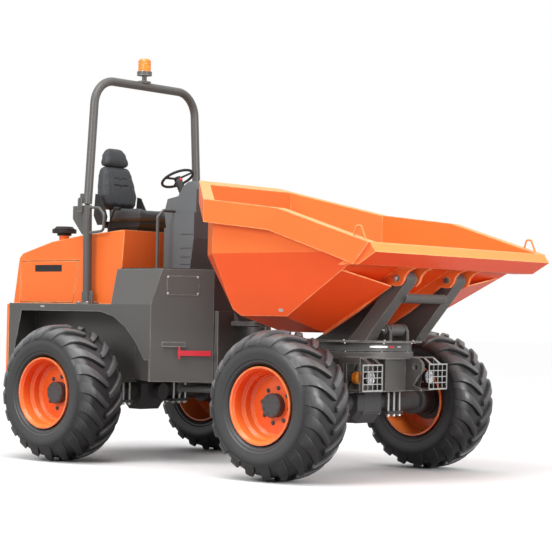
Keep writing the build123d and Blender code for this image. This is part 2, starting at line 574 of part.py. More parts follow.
upperStrap = [(guardX + 5, guardHigh - 9), (guardX + 5, guardHigh), (plateX + 40, boxTop - 8 - touch),
              (boxBack + 60, boxTop - 8 - touch), (boxBack + 60, boxTop - 16), (plateX + 37, boxTop - 16)]
for y in (guardIn + 12, guardOut - 120):
    guard += sidePrism(upperStrap, y, y + 30)
    guard += box(boxBack + 60, guardX + 5, y, y + 30, boxBottom + 8 + touch, boxBottom + 17)
save("light_guards", both(guard))

# ---- turntable with the two arms that carry the tipping pins

tableBottom, plateBottom, tableTop = ringTop + 6, 1080, 1095
table = disc(slewX, 0, tableBottom, plateBottom, ringRadius - 15)
table += disc(slewX, 0, plateBottom, tableTop, ringRadius + 70)
table -= disc(slewX, 0, 0, spindleTop + 2, spindleRadius + turnFit)
armIn, armOut, armEnd = 270, 400, 56
pinOut, pinIn, tipPin = 480, 200, 25
armSide = [(1425, tableTop - 2), (1605, tableTop - 2), (1648, tableTop + 62), (tipX + 45, tipZ - 33),
           (tipX - 45, tipZ + 33), (1530, tableTop + 105)]
arm = sidePrism(armSide, armIn, armOut) + across(tipX, tipZ, armIn, armOut, armEnd)
arm += sidePrism([(1000, tableTop - 2), (1600, tableTop - 2), (tipX - 40, tipZ - 40), (tipX - 90, tipZ - 60)],
                 armIn, armIn + 20)
arm += across(tipX, tipZ, pinIn, pinOut, tipPin)
footX, footZ = 1580, 1180
arm += box(footX - 60, footX + 60, 100, 130, tableTop - 2, footZ) + across(footX, footZ, 100, 130, 50)
arm += across(footX, footZ, 130, 148, 34)
table += both(arm) + across(footX, footZ, -130, 130, tipPin)
crossTube = across(1862, 1440, -armIn - 5, armIn + 5, 45)
table += crossTube - box(1700, 2000, -beyond, beyond, 1470, 1500)
save("turntable", table)

# ---- tipping cylinder, open at its rod's eye

eyeX, eyeZ = 810, 1200
rodRadius, barrelTube = 28, 48
foot, eye = Vector(footX, 0, footZ), Vector(eyeX, 0, eyeZ)
tipUnit = (eye - foot).normalized()
gland = foot + tipUnit * ((eye - foot).length - 90)
barrel = across(footX, footZ, -90, 90, 50) + rod(tuple(foot), tuple(gland), barrelTube)
barrel += rod(tuple(gland - tipUnit * 55), tuple(gland), barrelTube + 5)
barrel -= across(footX, footZ, -150, 150, tipPin + turnFit)
barrel -= rod(tuple(foot + tipUnit * 120), tuple(eye), rodRadius + turnFit)
save("tip_cylinder", barrel)
tipRod = rod(tuple(foot + tipUnit * 150), tuple(eye), rodRadius) + across(eyeX, eyeZ, -40, 40, 38)
save("tip_rod", tipRod - across(eyeX, eyeZ, -60, 60, 20))

# ---- steering cylinders, open at their rods' eyes

steerTube, steerRod = 30, 16
for name, side in (("right", -1), ("left", 1)):
    start = Vector(anchorX, side * anchorY, steerCylZ)
    end = Vector(steerEyeX, side * steerEyeY, steerCylZ)
    unit = (end - start).normalized()
    outer = disc(start.X, start.Y, steerCylZ - 25, steerCylZ + 25, 28)
    outer += rod(tuple(start), tuple(start + unit * 540), steerTube)
    outer -= disc(start.X, start.Y, 0, beyond, steerPinRadius + turnFit)
    outer -= rod(tuple(start + unit * 60), tuple(start + unit * 600), steerRod + turnFit)
    save("steer_cylinder_" + name, outer)
    inner = rod(tuple(start + unit * 300), tuple(end), steerRod)
    inner += disc(end.X, end.Y, steerCylZ - 22, steerCylZ + 22, 26)
    save("steer_rod_" + name, inner - disc(end.X, end.Y, 0, beyond, steerPinRadius))

# ---- skip: a hull cut by planes, hollowed by the same planes moved in, with a boxed rim and a lip

skipHalf = 1215
wallHalf = skipHalf - 95
floorHalf = wallHalf - 170
skipWall = 10
floorZ, creaseZ = 1275, 1765
upperRearX, lowerRearX = 30, 780
cornerX, cornerFootX = 616, 720
slopeStart = 1255
rimProfile = [(-90, 2410), (600, 2190), (1360, 2100), (2240, 1827)]
rimLower = [(2100, 1668), (1266, 1934), (594, 2009), (-90, 2225)]
rimRearX, rimTop = rimProfile[0]
rimCornerX = rimProfile[1][0]
rimFrontX, rimFrontZ = rimProfile[-1]


def skipHull(t):
    shape = box(rimRearX - 400, rimFrontX + 300, -skipHalf - 80, skipHalf + 80, floorZ - 200, rimTop + 200)
    rearHalf = wallHalf - cornerX + upperRearX
    planes = [[(0, 0, floorZ), (1, 0, floorZ), (0, 1, floorZ)],
              [(upperRearX, 0, rimTop), (upperRearX, 1, rimTop), (upperRearX, 0, rimTop + 1)],
              [(upperRearX, 0, creaseZ + 30), (upperRearX, 1, creaseZ + 30), (lowerRearX, 0, floorZ)],
              [(slopeStart, 0, floorZ), (slopeStart, 1, floorZ), (rimFrontX, 0, rimFrontZ)]]
    for s in (-1, 1):
        planes += [[(0, s * wallHalf, creaseZ), (1, s * wallHalf, creaseZ), (0, s * wallHalf, rimTop)],
                   [(0, s * wallHalf, creaseZ), (1, s * wallHalf, creaseZ), (0, s * floorHalf, floorZ)],
                   [(cornerX, s * wallHalf, creaseZ), (cornerX, s * wallHalf, rimTop),
                    (upperRearX, s * rearHalf, rimTop)],
                   [(cornerX, s * wallHalf, creaseZ), (cornerFootX, s * floorHalf, floorZ),
                    (upperRearX + 200, s * (rearHalf + 200), creaseZ)]]
    middle = Vector(slopeStart, 0, creaseZ - 100)
    for points in planes:
        a, b, c = (Vector(*p) for p in points)
        n = (b - a).cross(c - a).normalized()
        n = n if (middle - a).dot(n) < 0 else n * -1
        shape = split(shape, bisect_by=Plane(origin=a - n * t, z_dir=n), keep=Keep.BOTTOM)
    return shape


innerHull = skipHull(skipWall)
above = rimProfile + [(rimFrontX + 360, rimFrontZ - 112), (rimFrontX + 360, rimTop + 300),
                      (rimRearX - 500, rimTop + 300), (rimRearX - 500, rimTop + 160)]
shell = skipHull(0) - innerHull - sidePrism(above, -beyond, beyond)
shell -= box(rimFrontX, beyond, -beyond, beyond, 0, beyond)
rimRearHalf = skipHalf - (rimCornerX - rimRearX)
bandPlan = [(rimRearX, -rimRearHalf), (rimCornerX, -skipHalf), (rimFrontX, -skipHalf), (rimFrontX, skipHalf),
            (rimCornerX, skipHalf), (rimRearX, rimRearHalf)]
band = planPrism(bandPlan, floorZ, rimTop + 50)
band = band & sidePrism(rimProfile + rimLower, -skipHalf - 10, skipHalf + 10)
lip = sidePrism([(rimFrontX, rimFrontZ), (lipX, 1757), (2130, 1665), (1945, 1665)],
                -skipHalf + 20, skipHalf - 20)
skip = shell + (band - innerHull) + lip

# four curved lugs on the pins, with the sloping panels outside them
lugOutline = [(slopeStart + 10, floorZ + 12), (1216, 1150), (1224, 1134), (1560, 1322),
              (tipX - 60, tipZ - 52), (tipX - 20, tipZ - 62), (tipX + 30, tipZ - 56), (tipX + 62, tipZ - 20),
              (tipX + 76, tipZ + 20), (tipX + 108, tipZ + 52), (2130, 1668), (1960, 1672)]
lugPlate = 22
for y in (pinIn + 20, pinOut - 50):
    lugShape = sidePrism(lugOutline, y, y + lugPlate) + across(tipX, tipZ, y, y + lugPlate, 62)
    skip += both(lugShape - across(tipX, tipZ, y - 10, y + 40, tipPin + turnFit))
panelIn, panelDrop, panelSheet = pinOut - 40, 125, 8
slopeRise = (rimFrontZ - floorZ) / (rimFrontX - slopeStart)
wallLean = (wallHalf - floorHalf) / (creaseZ - floorZ)


def panelSection(x, outerZ, innerZ):
    # thin section at x, between the skip's lower edge and the outer lug
    outerY = floorHalf + (outerZ - floorZ) * wallLean
    plane = Plane(origin=(x, 0, 0), x_dir=(0, 1, 0), z_dir=(1, 0, 0))
    return plane * make_face(Polyline((outerY, outerZ), (panelIn, innerZ), (panelIn, innerZ + panelSheet),
                                      (outerY - 12, outerZ + panelSheet), close=True))


bendX, panelEndX = 1225, 1880
panelEndZ = floorZ + (panelEndX - slopeStart) * slopeRise
flat = [panelSection(x, floorZ, floorZ - panelDrop) for x in (cornerFootX + 60, bendX)]
sloped = [flat[1], panelSection(panelEndX, panelEndZ, panelEndZ - 107)]
skip += both(loft(flat, ruled=True) + loft(sloped, ruled=True))
# ears round the rod's eye, running back along the sloping rear
ear = [(eyeX + 45, floorZ + 4), (eyeX + 45, eyeZ - 30), (eyeX - 45, eyeZ - 30), (600, 1212), (562, 1258),
       (570, 1425), (lowerRearX, floorZ + 4)]
skip += both(sidePrism(ear, 46, 58))
for side in (-1, 1):
    y = side * (skipHalf - 50)
    skip += tube([(2060, y, 1862), (2085, y, 1950), (2130, y, 1950), (2180, y, 1832)], 8, 20)
save("skip", skip)
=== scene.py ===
import json
import math
from math import cos, pi, radians, sin
import bmesh
import bpy
from mathutils import Matrix, Vector


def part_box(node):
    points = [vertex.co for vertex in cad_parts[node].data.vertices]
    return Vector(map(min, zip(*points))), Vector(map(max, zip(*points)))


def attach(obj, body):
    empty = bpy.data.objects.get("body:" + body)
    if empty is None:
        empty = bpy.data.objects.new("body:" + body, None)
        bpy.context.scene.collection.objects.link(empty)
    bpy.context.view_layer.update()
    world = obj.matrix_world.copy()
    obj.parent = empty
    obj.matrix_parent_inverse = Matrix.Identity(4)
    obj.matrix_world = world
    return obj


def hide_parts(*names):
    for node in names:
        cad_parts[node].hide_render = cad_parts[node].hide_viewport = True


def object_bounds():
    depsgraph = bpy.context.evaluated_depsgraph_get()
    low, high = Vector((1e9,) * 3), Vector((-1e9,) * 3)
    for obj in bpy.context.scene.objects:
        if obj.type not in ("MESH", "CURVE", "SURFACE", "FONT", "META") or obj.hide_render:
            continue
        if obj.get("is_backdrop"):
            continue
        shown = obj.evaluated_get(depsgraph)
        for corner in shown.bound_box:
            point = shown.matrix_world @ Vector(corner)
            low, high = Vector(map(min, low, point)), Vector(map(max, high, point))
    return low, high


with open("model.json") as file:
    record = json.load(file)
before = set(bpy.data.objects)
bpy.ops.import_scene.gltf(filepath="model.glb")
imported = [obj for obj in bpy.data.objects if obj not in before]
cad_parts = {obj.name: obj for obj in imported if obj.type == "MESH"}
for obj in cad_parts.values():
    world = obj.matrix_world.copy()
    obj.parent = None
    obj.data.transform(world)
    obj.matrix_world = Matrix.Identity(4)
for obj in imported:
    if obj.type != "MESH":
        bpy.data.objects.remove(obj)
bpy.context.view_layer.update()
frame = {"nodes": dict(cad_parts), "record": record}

nodes = frame["nodes"]
hands = ((-1, "right"), (1, "left"))
corners = ("front_left", "rear_right", "rear_left", "front_right")
print("frame loaded:", len(nodes), "nodes")


# helpers for nodes and materials

def newMaterial(name):
    material = bpy.data.materials.new(name)
    material.use_nodes = True
    tree = material.node_tree
    shader = tree.nodes["Principled BSDF"]
    return material, tree, shader


def addNode(tree, kind, **values):
    node = tree.nodes.new(kind)
    for key, value in values.items():
        setattr(node, key, value)
    return node


def newGroup(name, inputs, outputs):
    tree = bpy.data.node_groups.new(name, "ShaderNodeTree")
    for label, kind, start in inputs:
        socket = tree.interface.new_socket(label, in_out="INPUT", socket_type=kind)
        if start is not None:
            socket.default_value = start
    for label, kind in outputs:
        tree.interface.new_socket(label, in_out="OUTPUT", socket_type=kind)
    return tree, tree.nodes.new("NodeGroupInput"), tree.nodes.new("NodeGroupOutput")


# Tone: a colour that turns lighter where it faces up, painted light on top and painted shade below, changes
# slowly like a cloud, and holds dust on top.
def makeToneGroup():
    tree, entry, result = newGroup(
        "tone",
        [("Color", "NodeSocketColor", None), ("Painted Light Color", "NodeSocketColor", None),
         ("Painted Light Amount", "NodeSocketFloat", 0.0), ("Dust Color", "NodeSocketColor", None),
         ("Cloud Scale", "NodeSocketFloat", 2.0), ("Cloud Amount", "NodeSocketFloat", 0.08),
         ("Dust Amount", "NodeSocketFloat", 0.2)],
        [("Color", "NodeSocketColor"), ("Dust", "NodeSocketFloat")])
    link = tree.links.new
    place = addNode(tree, "ShaderNodeTexCoord")
    cloud = addNode(tree, "ShaderNodeTexNoise")
    cloud.inputs["Detail"].default_value = 4.0
    fine = addNode(tree, "ShaderNodeTexNoise")
    fine.inputs["Scale"].default_value = 45.0
    fine.inputs["Detail"].default_value = 6.0
    link(place.outputs["Object"], cloud.inputs["Vector"])
    link(place.outputs["Object"], fine.inputs["Vector"])
    link(entry.outputs["Cloud Scale"], cloud.inputs["Scale"])
    centred = addNode(tree, "ShaderNodeMath", operation="SUBTRACT")
    centred.inputs[1].default_value = 0.5
    link(cloud.outputs["Fac"], centred.inputs[0])
    swing = addNode(tree, "ShaderNodeMath", operation="MULTIPLY_ADD")
    swing.inputs[2].default_value = 1.0
    link(centred.outputs[0], swing.inputs[0])
    link(entry.outputs["Cloud Amount"], swing.inputs[1])
    split = addNode(tree, "ShaderNodeSeparateXYZ")
    link(place.outputs["Normal"], split.inputs[0])
    skyward = addNode(tree, "ShaderNodeMapRange")
    skyward.inputs["From Min"].default_value = -0.45
    skyward.inputs["From Max"].default_value = 0.75
    link(split.outputs["Z"], skyward.inputs["Value"])
    # the lighter colour's share grows as the face turns up: painted light
    paintedLightShare = addNode(tree, "ShaderNodeMath", operation="MULTIPLY", use_clamp=True)
    link(skyward.outputs["Result"], paintedLightShare.inputs[0])
    link(entry.outputs["Painted Light Amount"], paintedLightShare.inputs[1])
    paintedLight = addNode(tree, "ShaderNodeMix", data_type="RGBA")
    link(paintedLightShare.outputs[0], paintedLight.inputs["Factor"])
    link(entry.outputs["Color"], paintedLight.inputs[6])
    link(entry.outputs["Painted Light Color"], paintedLight.inputs[7])
    brighten = addNode(tree, "ShaderNodeVectorMath", operation="SCALE")
    link(paintedLight.outputs[2], brighten.inputs[0])
    link(swing.outputs[0], brighten.inputs["Scale"])
    facing = addNode(tree, "ShaderNodeMapRange")
    facing.inputs["From Min"].default_value = 0.15
    facing.inputs["From Max"].default_value = 1.0
    link(split.outputs["Z"], facing.inputs["Value"])
    speck = addNode(tree, "ShaderNodeMapRange")
    speck.inputs["From Min"].default_value = 0.38
    speck.inputs["From Max"].default_value = 0.72
    link(fine.outputs["Fac"], speck.inputs["Value"])
    lying = addNode(tree, "ShaderNodeMath", operation="MULTIPLY")
    link(facing.outputs["Result"], lying.inputs[0])
    link(speck.outputs["Result"], lying.inputs[1])
    spread = addNode(tree, "ShaderNodeMath", operation="ADD")
    spread.inputs[1].default_value = 0.12
    link(lying.outputs[0], spread.inputs[0])
    amount = addNode(tree, "ShaderNodeMath", operation="MULTIPLY", use_clamp=True)
    link(spread.outputs[0], amount.inputs[0])
    link(entry.outputs["Dust Amount"], amount.inputs[1])
    mix = addNode(tree, "ShaderNodeMix", data_type="RGBA")
    link(amount.outputs[0], mix.inputs["Factor"])
    link(brighten.outputs[0], mix.inputs[6])
    link(entry.outputs["Dust Color"], mix.inputs[7])
    link(mix.outputs[2], result.inputs["Color"])
    link(amount.outputs[0], result.inputs["Dust"])
    return tree


# Grain: a fine bump and the roughness that goes with it.
def makeGrainGroup():
    tree, entry, result = newGroup(
        "grain",
        [("Scale", "NodeSocketFloat", 400.0), ("Depth", "NodeSocketFloat", 0.2),
         ("Distance", "NodeSocketFloat", 0.001), ("Roughness", "NodeSocketFloat", 0.5),
         ("Roughness Swing", "NodeSocketFloat", 0.1), ("Dust", "NodeSocketFloat", 0.0)],
        [("Normal", "NodeSocketVector"), ("Roughness", "NodeSocketFloat")])
    link = tree.links.new
    place = addNode(tree, "ShaderNodeTexCoord")
    grain = addNode(tree, "ShaderNodeTexNoise")
    grain.inputs["Detail"].default_value = 3.0
    broad = addNode(tree, "ShaderNodeTexNoise")
    broad.inputs["Scale"].default_value = 7.0
    broad.inputs["Detail"].default_value = 5.0
    link(place.outputs["Object"], grain.inputs["Vector"])
    link(place.outputs["Object"], broad.inputs["Vector"])
    link(entry.outputs["Scale"], grain.inputs["Scale"])
    bump = addNode(tree, "ShaderNodeBump")
    link(entry.outputs["Depth"], bump.inputs["Strength"])
    link(entry.outputs["Distance"], bump.inputs["Distance"])
    link(grain.outputs["Fac"], bump.inputs["Height"])
    link(bump.outputs["Normal"], result.inputs["Normal"])
    centred = addNode(tree, "ShaderNodeMath", operation="SUBTRACT")
    centred.inputs[1].default_value = 0.5
    link(broad.outputs["Fac"], centred.inputs[0])
    swung = addNode(tree, "ShaderNodeMath", operation="MULTIPLY_ADD")
    link(centred.outputs[0], swung.inputs[0])
    link(entry.outputs["Roughness Swing"], swung.inputs[1])
    link(entry.outputs["Roughness"], swung.inputs[2])
    dusty = addNode(tree, "ShaderNodeMath", operation="MULTIPLY_ADD", use_clamp=True)
    dusty.inputs[1].default_value = 0.5
    link(entry.outputs["Dust"], dusty.inputs[0])
    link(swung.outputs[0], dusty.inputs[2])
    link(dusty.outputs[0], result.inputs["Roughness"])
    return tree


# Edge: a mask of the sharp edges, broken up by noise, for a painted highlight that turns the paint pale there.
def makeEdgeGroup():
    tree, entry, result = newGroup(
        "edge highlight",
        [("Width", "NodeSocketFloat", 0.006), ("Amount", "NodeSocketFloat", 0.5)],
        [("Edge", "NodeSocketFloat")])
    link = tree.links.new
    place = addNode(tree, "ShaderNodeTexCoord")
    true = addNode(tree, "ShaderNodeNewGeometry")
    rounded = addNode(tree, "ShaderNodeBevel", samples=4)
    link(entry.outputs["Width"], rounded.inputs["Radius"])
    match = addNode(tree, "ShaderNodeVectorMath", operation="DOT_PRODUCT")
    link(rounded.outputs["Normal"], match.inputs[0])
    link(true.outputs["Normal"], match.inputs[1])
    turned = addNode(tree, "ShaderNodeMapRange")
    turned.inputs["From Min"].default_value = 0.995
    turned.inputs["From Max"].default_value = 0.90
    link(match.outputs["Value"], turned.inputs["Value"])
    edgeHighlight = addNode(tree, "ShaderNodeTexNoise")
    edgeHighlight.inputs["Scale"].default_value = 14.0
    edgeHighlight.inputs["Detail"].default_value = 5.0
    link(place.outputs["Object"], edgeHighlight.inputs["Vector"])
    broken = addNode(tree, "ShaderNodeMapRange")
    broken.inputs["From Min"].default_value = 0.25
    broken.inputs["From Max"].default_value = 0.60
    link(edgeHighlight.outputs["Fac"], broken.inputs["Value"])
    both = addNode(tree, "ShaderNodeMath", operation="MULTIPLY")
    link(turned.outputs["Result"], both.inputs[0])
    link(broken.outputs["Result"], both.inputs[1])
    mask = addNode(tree, "ShaderNodeMath", operation="MULTIPLY", use_clamp=True)
    link(both.outputs[0], mask.inputs[0])
    link(entry.outputs["Amount"], mask.inputs[1])
    link(mask.outputs[0], result.inputs["Edge"])
    return tree


toneGroup = makeToneGroup()
edgeGroup = makeEdgeGroup()
grainGroup = makeGrainGroup()


# sockets of each node: key in a finish, and the value where the finish has none
sockets = {
    "tone": {"Painted Light Amount": ("paintedLight", 0.0), "Cloud Scale": ("cloudScale", 2.0),
             "Cloud Amount": ("cloudAmount", 0.12), "Dust Amount": ("dust", 0.1)},
    "grain": {"Scale": ("grainScale", 300.0), "Depth": ("grainDepth", 0.1), "Distance": ("grainDistance", 0.001),
              "Roughness": ("roughness", 0.5), "Roughness Swing": ("roughnessSwing", 0.15)},
    "edge": {"Width": ("edgeWidth", 0.008), "Amount": ("edge", 0.6)},
    "shader": {"Metallic": ("metallic", 0.0), "Coat Weight": ("coat", 0.0), "IOR": ("ior", 1.5),
               "Coat Roughness": ("coatRoughness", 0.1), "Transmission Weight": ("transmission", 0.0),
               "Specular IOR Level": ("specular", 0.5)},
}


def fill(node, kind, finish):
    for socket, (key, usual) in sockets[kind].items():
        node.inputs[socket].default_value = finish.get(key, usual)


def finishMaterial(name, finish):
    material, tree, shader = newMaterial(name)
    link = tree.links.new
    tone = addNode(tree, "ShaderNodeGroup", node_tree=toneGroup)
    tone.inputs["Color"].default_value = (*finish["color"], 1)
    tone.inputs["Painted Light Color"].default_value = (*finish.get("paintedLightColor", finish["color"]), 1)
    tone.inputs["Dust Color"].default_value = (*finish.get("dustColor", (0.45, 0.40, 0.34)), 1)
    fill(tone, "tone", finish)
    grain = addNode(tree, "ShaderNodeGroup", node_tree=grainGroup)
    fill(grain, "grain", finish)
    colour = tone.outputs["Color"]
    # pale paint along the sharp edges: a painted highlight
    if "edgeHighlightColor" in finish:
        edge = addNode(tree, "ShaderNodeGroup", node_tree=edgeGroup)
        fill(edge, "edge", finish)
        edgeHighlight = addNode(tree, "ShaderNodeMix", data_type="RGBA")
        edgeHighlight.inputs[7].default_value = (*finish["edgeHighlightColor"], 1)
        link(edge.outputs["Edge"], edgeHighlight.inputs["Factor"])
        link(colour, edgeHighlight.inputs[6])
        colour = edgeHighlight.outputs[2]
    link(colour, shader.inputs["Base Color"])
    link(tone.outputs["Dust"], grain.inputs["Dust"])
    link(grain.outputs["Roughness"], shader.inputs["Roughness"])
    link(grain.outputs["Normal"], shader.inputs["Normal"])
    fill(shader, "shader", finish)
    if "wornAndLit" in finish:
        # what faces up takes the lighter colour where the mesh's attribute of abrasion and groove shade marks
        # it, partly abraded rubber and partly painted light on the bar tops, and what faces down keeps the
        # near-black colour of the grooves, a painted shade
        wearAndGrooveShade = addNode(tree, "ShaderNodeAttribute", attribute_name="wearAndGrooveShade")
        wornAndLit = addNode(tree, "ShaderNodeMix", data_type="RGBA")
        wornAndLit.inputs[6].default_value = (*finish["color"], 1)
        wornAndLit.inputs[7].default_value = (*finish["wornAndLit"], 1)
        link(wearAndGrooveShade.outputs["Fac"], wornAndLit.inputs["Factor"])
        link(wornAndLit.outputs[2], tone.inputs["Painted Light Color"])
    return material


# each finish's lighter colour for faces that turn up paints light on the tops and shade underneath
finishes = {
    "orange_paint": dict(color=(0.84, 0.066, 0.008), paintedLightColor=(0.95, 0.38, 0.085), paintedLight=0.85,
                         roughness=0.36, edgeHighlightColor=(1.0, 0.58, 0.27), edge=0.9, edgeWidth=0.012,
                         specular=0.22, coat=0.08, coatRoughness=0.12, dustColor=(0.93, 0.36, 0.10),
                         dust=0.14, grainScale=260, grainDepth=0.05, cloudAmount=0.16),
    "rim_paint": dict(color=(0.80, 0.062, 0.008), paintedLightColor=(0.92, 0.24, 0.045), paintedLight=0.9, roughness=0.28,
                      edgeHighlightColor=(1.0, 0.58, 0.30), edge=0.9, edgeWidth=0.008,
                      specular=0.35, coat=0.35, coatRoughness=0.15, dustColor=(0.85, 0.30, 0.10), dust=0.12,
                      grainScale=260, grainDepth=0.05),
    "grey_paint": dict(color=(0.064, 0.061, 0.058), paintedLightColor=(0.112, 0.108, 0.103), paintedLight=0.7,
                       roughness=0.42, edgeHighlightColor=(0.36, 0.35, 0.33), edge=0.85, edgeWidth=0.010,
                       coat=0.12, coatRoughness=0.25, dustColor=(0.26, 0.25, 0.23), dust=0.18,
                       grainScale=380, grainDepth=0.10, cloudAmount=0.2),
    "axle_paint": dict(color=(0.060, 0.060, 0.062), roughness=0.55, dustColor=(0.22, 0.20, 0.18), dust=0.5,
                       grainScale=180, grainDepth=0.35, cloudScale=6.0, cloudAmount=0.35),
    "hub_paint": dict(color=(0.052, 0.054, 0.057), roughness=0.48, dustColor=(0.25, 0.24, 0.22), dust=0.3,
                      grainScale=200, grainDepth=0.25, cloudScale=9.0, cloudAmount=0.25),
    "red_paint": dict(color=(0.62, 0.012, 0.030), roughness=0.35, coat=0.4, dust=0.1),
    "engine_grey": dict(color=(0.07, 0.07, 0.07), roughness=0.7, grainScale=120, grainDepth=0.5),
    # the near-black colour paints shade in the grooves and on what faces down, and the lighter colour is partly
    # abraded rubber and partly painted light on the bar tops
    "tyre_rubber": dict(color=(0.011, 0.011, 0.012), wornAndLit=(0.125, 0.126, 0.130), paintedLight=1.3, roughness=0.35,
                        dustColor=(0.17, 0.17, 0.17), dust=0.14, grainScale=240, grainDepth=0.22,
                        cloudScale=5.0, cloudAmount=0.35),
    "black_rubber": dict(color=(0.022, 0.022, 0.023), roughness=0.75, dust=0.3, grainScale=300,
                         grainDepth=0.3),
    "black_plastic": dict(color=(0.016, 0.016, 0.018), roughness=0.55, specular=0.25, dust=0.1,
                          grainScale=900, grainDepth=0.25),
    "grey_plastic": dict(color=(0.108, 0.116, 0.122), roughness=0.52, grainScale=1100, grainDepth=0.3,
                         dust=0.12, dustColor=(0.34, 0.35, 0.35)),
    "seat_vinyl": dict(color=(0.040, 0.043, 0.048), roughness=0.50, specular=0.35, dust=0.12,
                       dustColor=(0.20, 0.20, 0.20), grainScale=700, grainDepth=0.45,
                       cloudScale=7.0, cloudAmount=0.25),
    "cylinder_steel": dict(color=(0.085, 0.085, 0.085), roughness=0.45, dust=0.3, coat=0.2),
    "rod_chrome": dict(color=(0.80, 0.80, 0.81), roughness=0.10, metallic=1.0, roughnessSwing=0.05, dust=0.0,
                       cloudAmount=0.04, grainDepth=0.02),
    "guard_steel": dict(color=(0.60, 0.60, 0.59), roughness=0.38, metallic=1.0, dust=0.05, cloudScale=12.0),
    "lamp_glass": dict(color=(0.92, 0.94, 0.95), roughness=0.05, transmission=0.85, ior=1.45, dust=0.02,
                       roughnessSwing=0.03, cloudAmount=0.02, grainDepth=0.0),
    "amber_lens": dict(color=(0.96, 0.34, 0.020), roughness=0.12, transmission=0.35, coat=0.5, dust=0.05,
                       roughnessSwing=0.05, dustColor=(0.95, 0.55, 0.25)),
}
materials = {slot: finishMaterial(slot, finish) for slot, finish in finishes.items()}
for part in frame["record"]["subparts"]:
    node = nodes[part["node"]]
    node.data.materials.clear()
    node.data.materials.append(materials[part["material_slot"]])
print("materials:", len(materials))


# camera, floor and light

camera = {
    "place": (10.060, -11.474, 1.263),
    "azimuth": 40.23,      # degrees, turned from looking along +Y
    "lift": 1.35,          # degrees above level
    "roll": 1.04,
    "lens": 115.37,        # on a 36 mm sensor
}


def makeCamera():
    a, p, r = radians(camera["azimuth"]), radians(camera["lift"]), radians(camera["roll"])
    ahead = Vector((-sin(a) * cos(p), cos(a) * cos(p), sin(p)))
    right = Vector((cos(a), sin(a), 0))
    up = right.cross(ahead)
    across = right * cos(r) + up * sin(r)
    upward = up * cos(r) - right * sin(r)
    data = bpy.data.cameras.new("camera")
    data.sensor_width = 36
    data.lens = camera["lens"]
    data.clip_end = 200
    shot = bpy.data.objects.new("camera", data)
    bpy.context.scene.collection.objects.link(shot)
    turn = Matrix((across, upward, -ahead)).transposed().to_4x4()
    shot.matrix_world = Matrix.Translation(camera["place"]) @ turn
    bpy.context.scene.camera = shot


studio = {
    "floorSize": 160.0,
    "floorColor": (0.93, 0.93, 0.93),
    "floorBounce": (0.48, 0.47, 0.46),     # as it lights the object
    "skyLow": 0.38, "skyHigh": 1.40,       # at the horizon and overhead
    "lamps": {           # place, aims at, size in metres, watts
        "overhead": ((1.0, -4.0, 9.0), (0.0, 0.0, 1.2), 6.0, 420.0),
        "frontSide": ((-0.5, -11.5, 5.5), (0.0, 0.0, 1.4), 4.0, 500.0),
        "nose": ((12.0, -2.0, 3.0), (1.0, 0.0, 1.1), 3.0, 620.0),
    },
}


def makeFloor():
    bpy.ops.object.select_all(action="DESELECT")
    bpy.ops.mesh.primitive_plane_add(size=studio["floorSize"], location=(0, 0, -0.0005))
    floor = bpy.context.object
    floor.name = "floor"
    material, tree, shader = newMaterial("floor")
    link = tree.links.new
    path = addNode(tree, "ShaderNodeLightPath")
    mix = addNode(tree, "ShaderNodeMix", data_type="RGBA")
    mix.inputs[6].default_value = (*studio["floorBounce"], 1)
    mix.inputs[7].default_value = (*studio["floorColor"], 1)
    link(path.outputs["Is Camera Ray"], mix.inputs["Factor"])
    link(mix.outputs[2], shader.inputs["Base Color"])
    shader.inputs["Roughness"].default_value = 0.9
    shader.inputs["Specular IOR Level"].default_value = 0.1
    floor.data.materials.append(material)
    floor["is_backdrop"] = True


def makeSky():
    world = bpy.data.worlds.new("sky")
    bpy.context.scene.world = world
    world.use_nodes = True
    tree = world.node_tree
    link = tree.links.new
    tree.nodes.clear()
    output = addNode(tree, "ShaderNodeOutputWorld")
    light = addNode(tree, "ShaderNodeBackground")
    light.inputs["Color"].default_value = (1, 1, 1, 1)
    place = addNode(tree, "ShaderNodeTexCoord")
    split = addNode(tree, "ShaderNodeSeparateXYZ")
    rise = addNode(tree, "ShaderNodeMapRange")
    rise.inputs["To Min"].default_value = studio["skyLow"]
    rise.inputs["To Max"].default_value = studio["skyHigh"]
    link(place.outputs["Generated"], split.inputs[0])
    link(split.outputs["Z"], rise.inputs["Value"])
    link(rise.outputs["Result"], light.inputs["Strength"])
    seen = addNode(tree, "ShaderNodeBackground")
    seen.inputs["Color"].default_value = (1, 1, 1, 1)
    path = addNode(tree, "ShaderNodeLightPath")
    glossy = addNode(tree, "ShaderNodeMath", operation="MAXIMUM")
    clear = addNode(tree, "ShaderNodeMath", operation="MAXIMUM")
    link(path.outputs["Is Camera Ray"], glossy.inputs[0])
    link(path.outputs["Is Glossy Ray"], glossy.inputs[1])
    link(glossy.outputs[0], clear.inputs[0])
    link(path.outputs["Is Transmission Ray"], clear.inputs[1])
    mix = addNode(tree, "ShaderNodeMixShader")
    link(clear.outputs[0], mix.inputs["Fac"])
    link(light.outputs[0], mix.inputs[1])
    link(seen.outputs[0], mix.inputs[2])
    link(mix.outputs[0], output.inputs["Surface"])


def makeLamps():
    for name, (place, aim, size, watts) in studio["lamps"].items():
        data = bpy.data.lights.new(name, "AREA")
        data.shape = "DISK"
        data.size = size
        data.energy = watts
        lamp = bpy.data.objects.new(name, data)
        bpy.context.scene.collection.objects.link(lamp)
        lamp.location = place
        lamp.rotation_euler = (Vector(aim) - Vector(place)).to_track_quat("-Z", "Y").to_euler()


makeCamera()
makeFloor()
makeSky()
makeLamps()
bpy.context.scene.view_settings.view_transform = "Standard"
print("camera, floor and lamps placed")


# modelling helpers

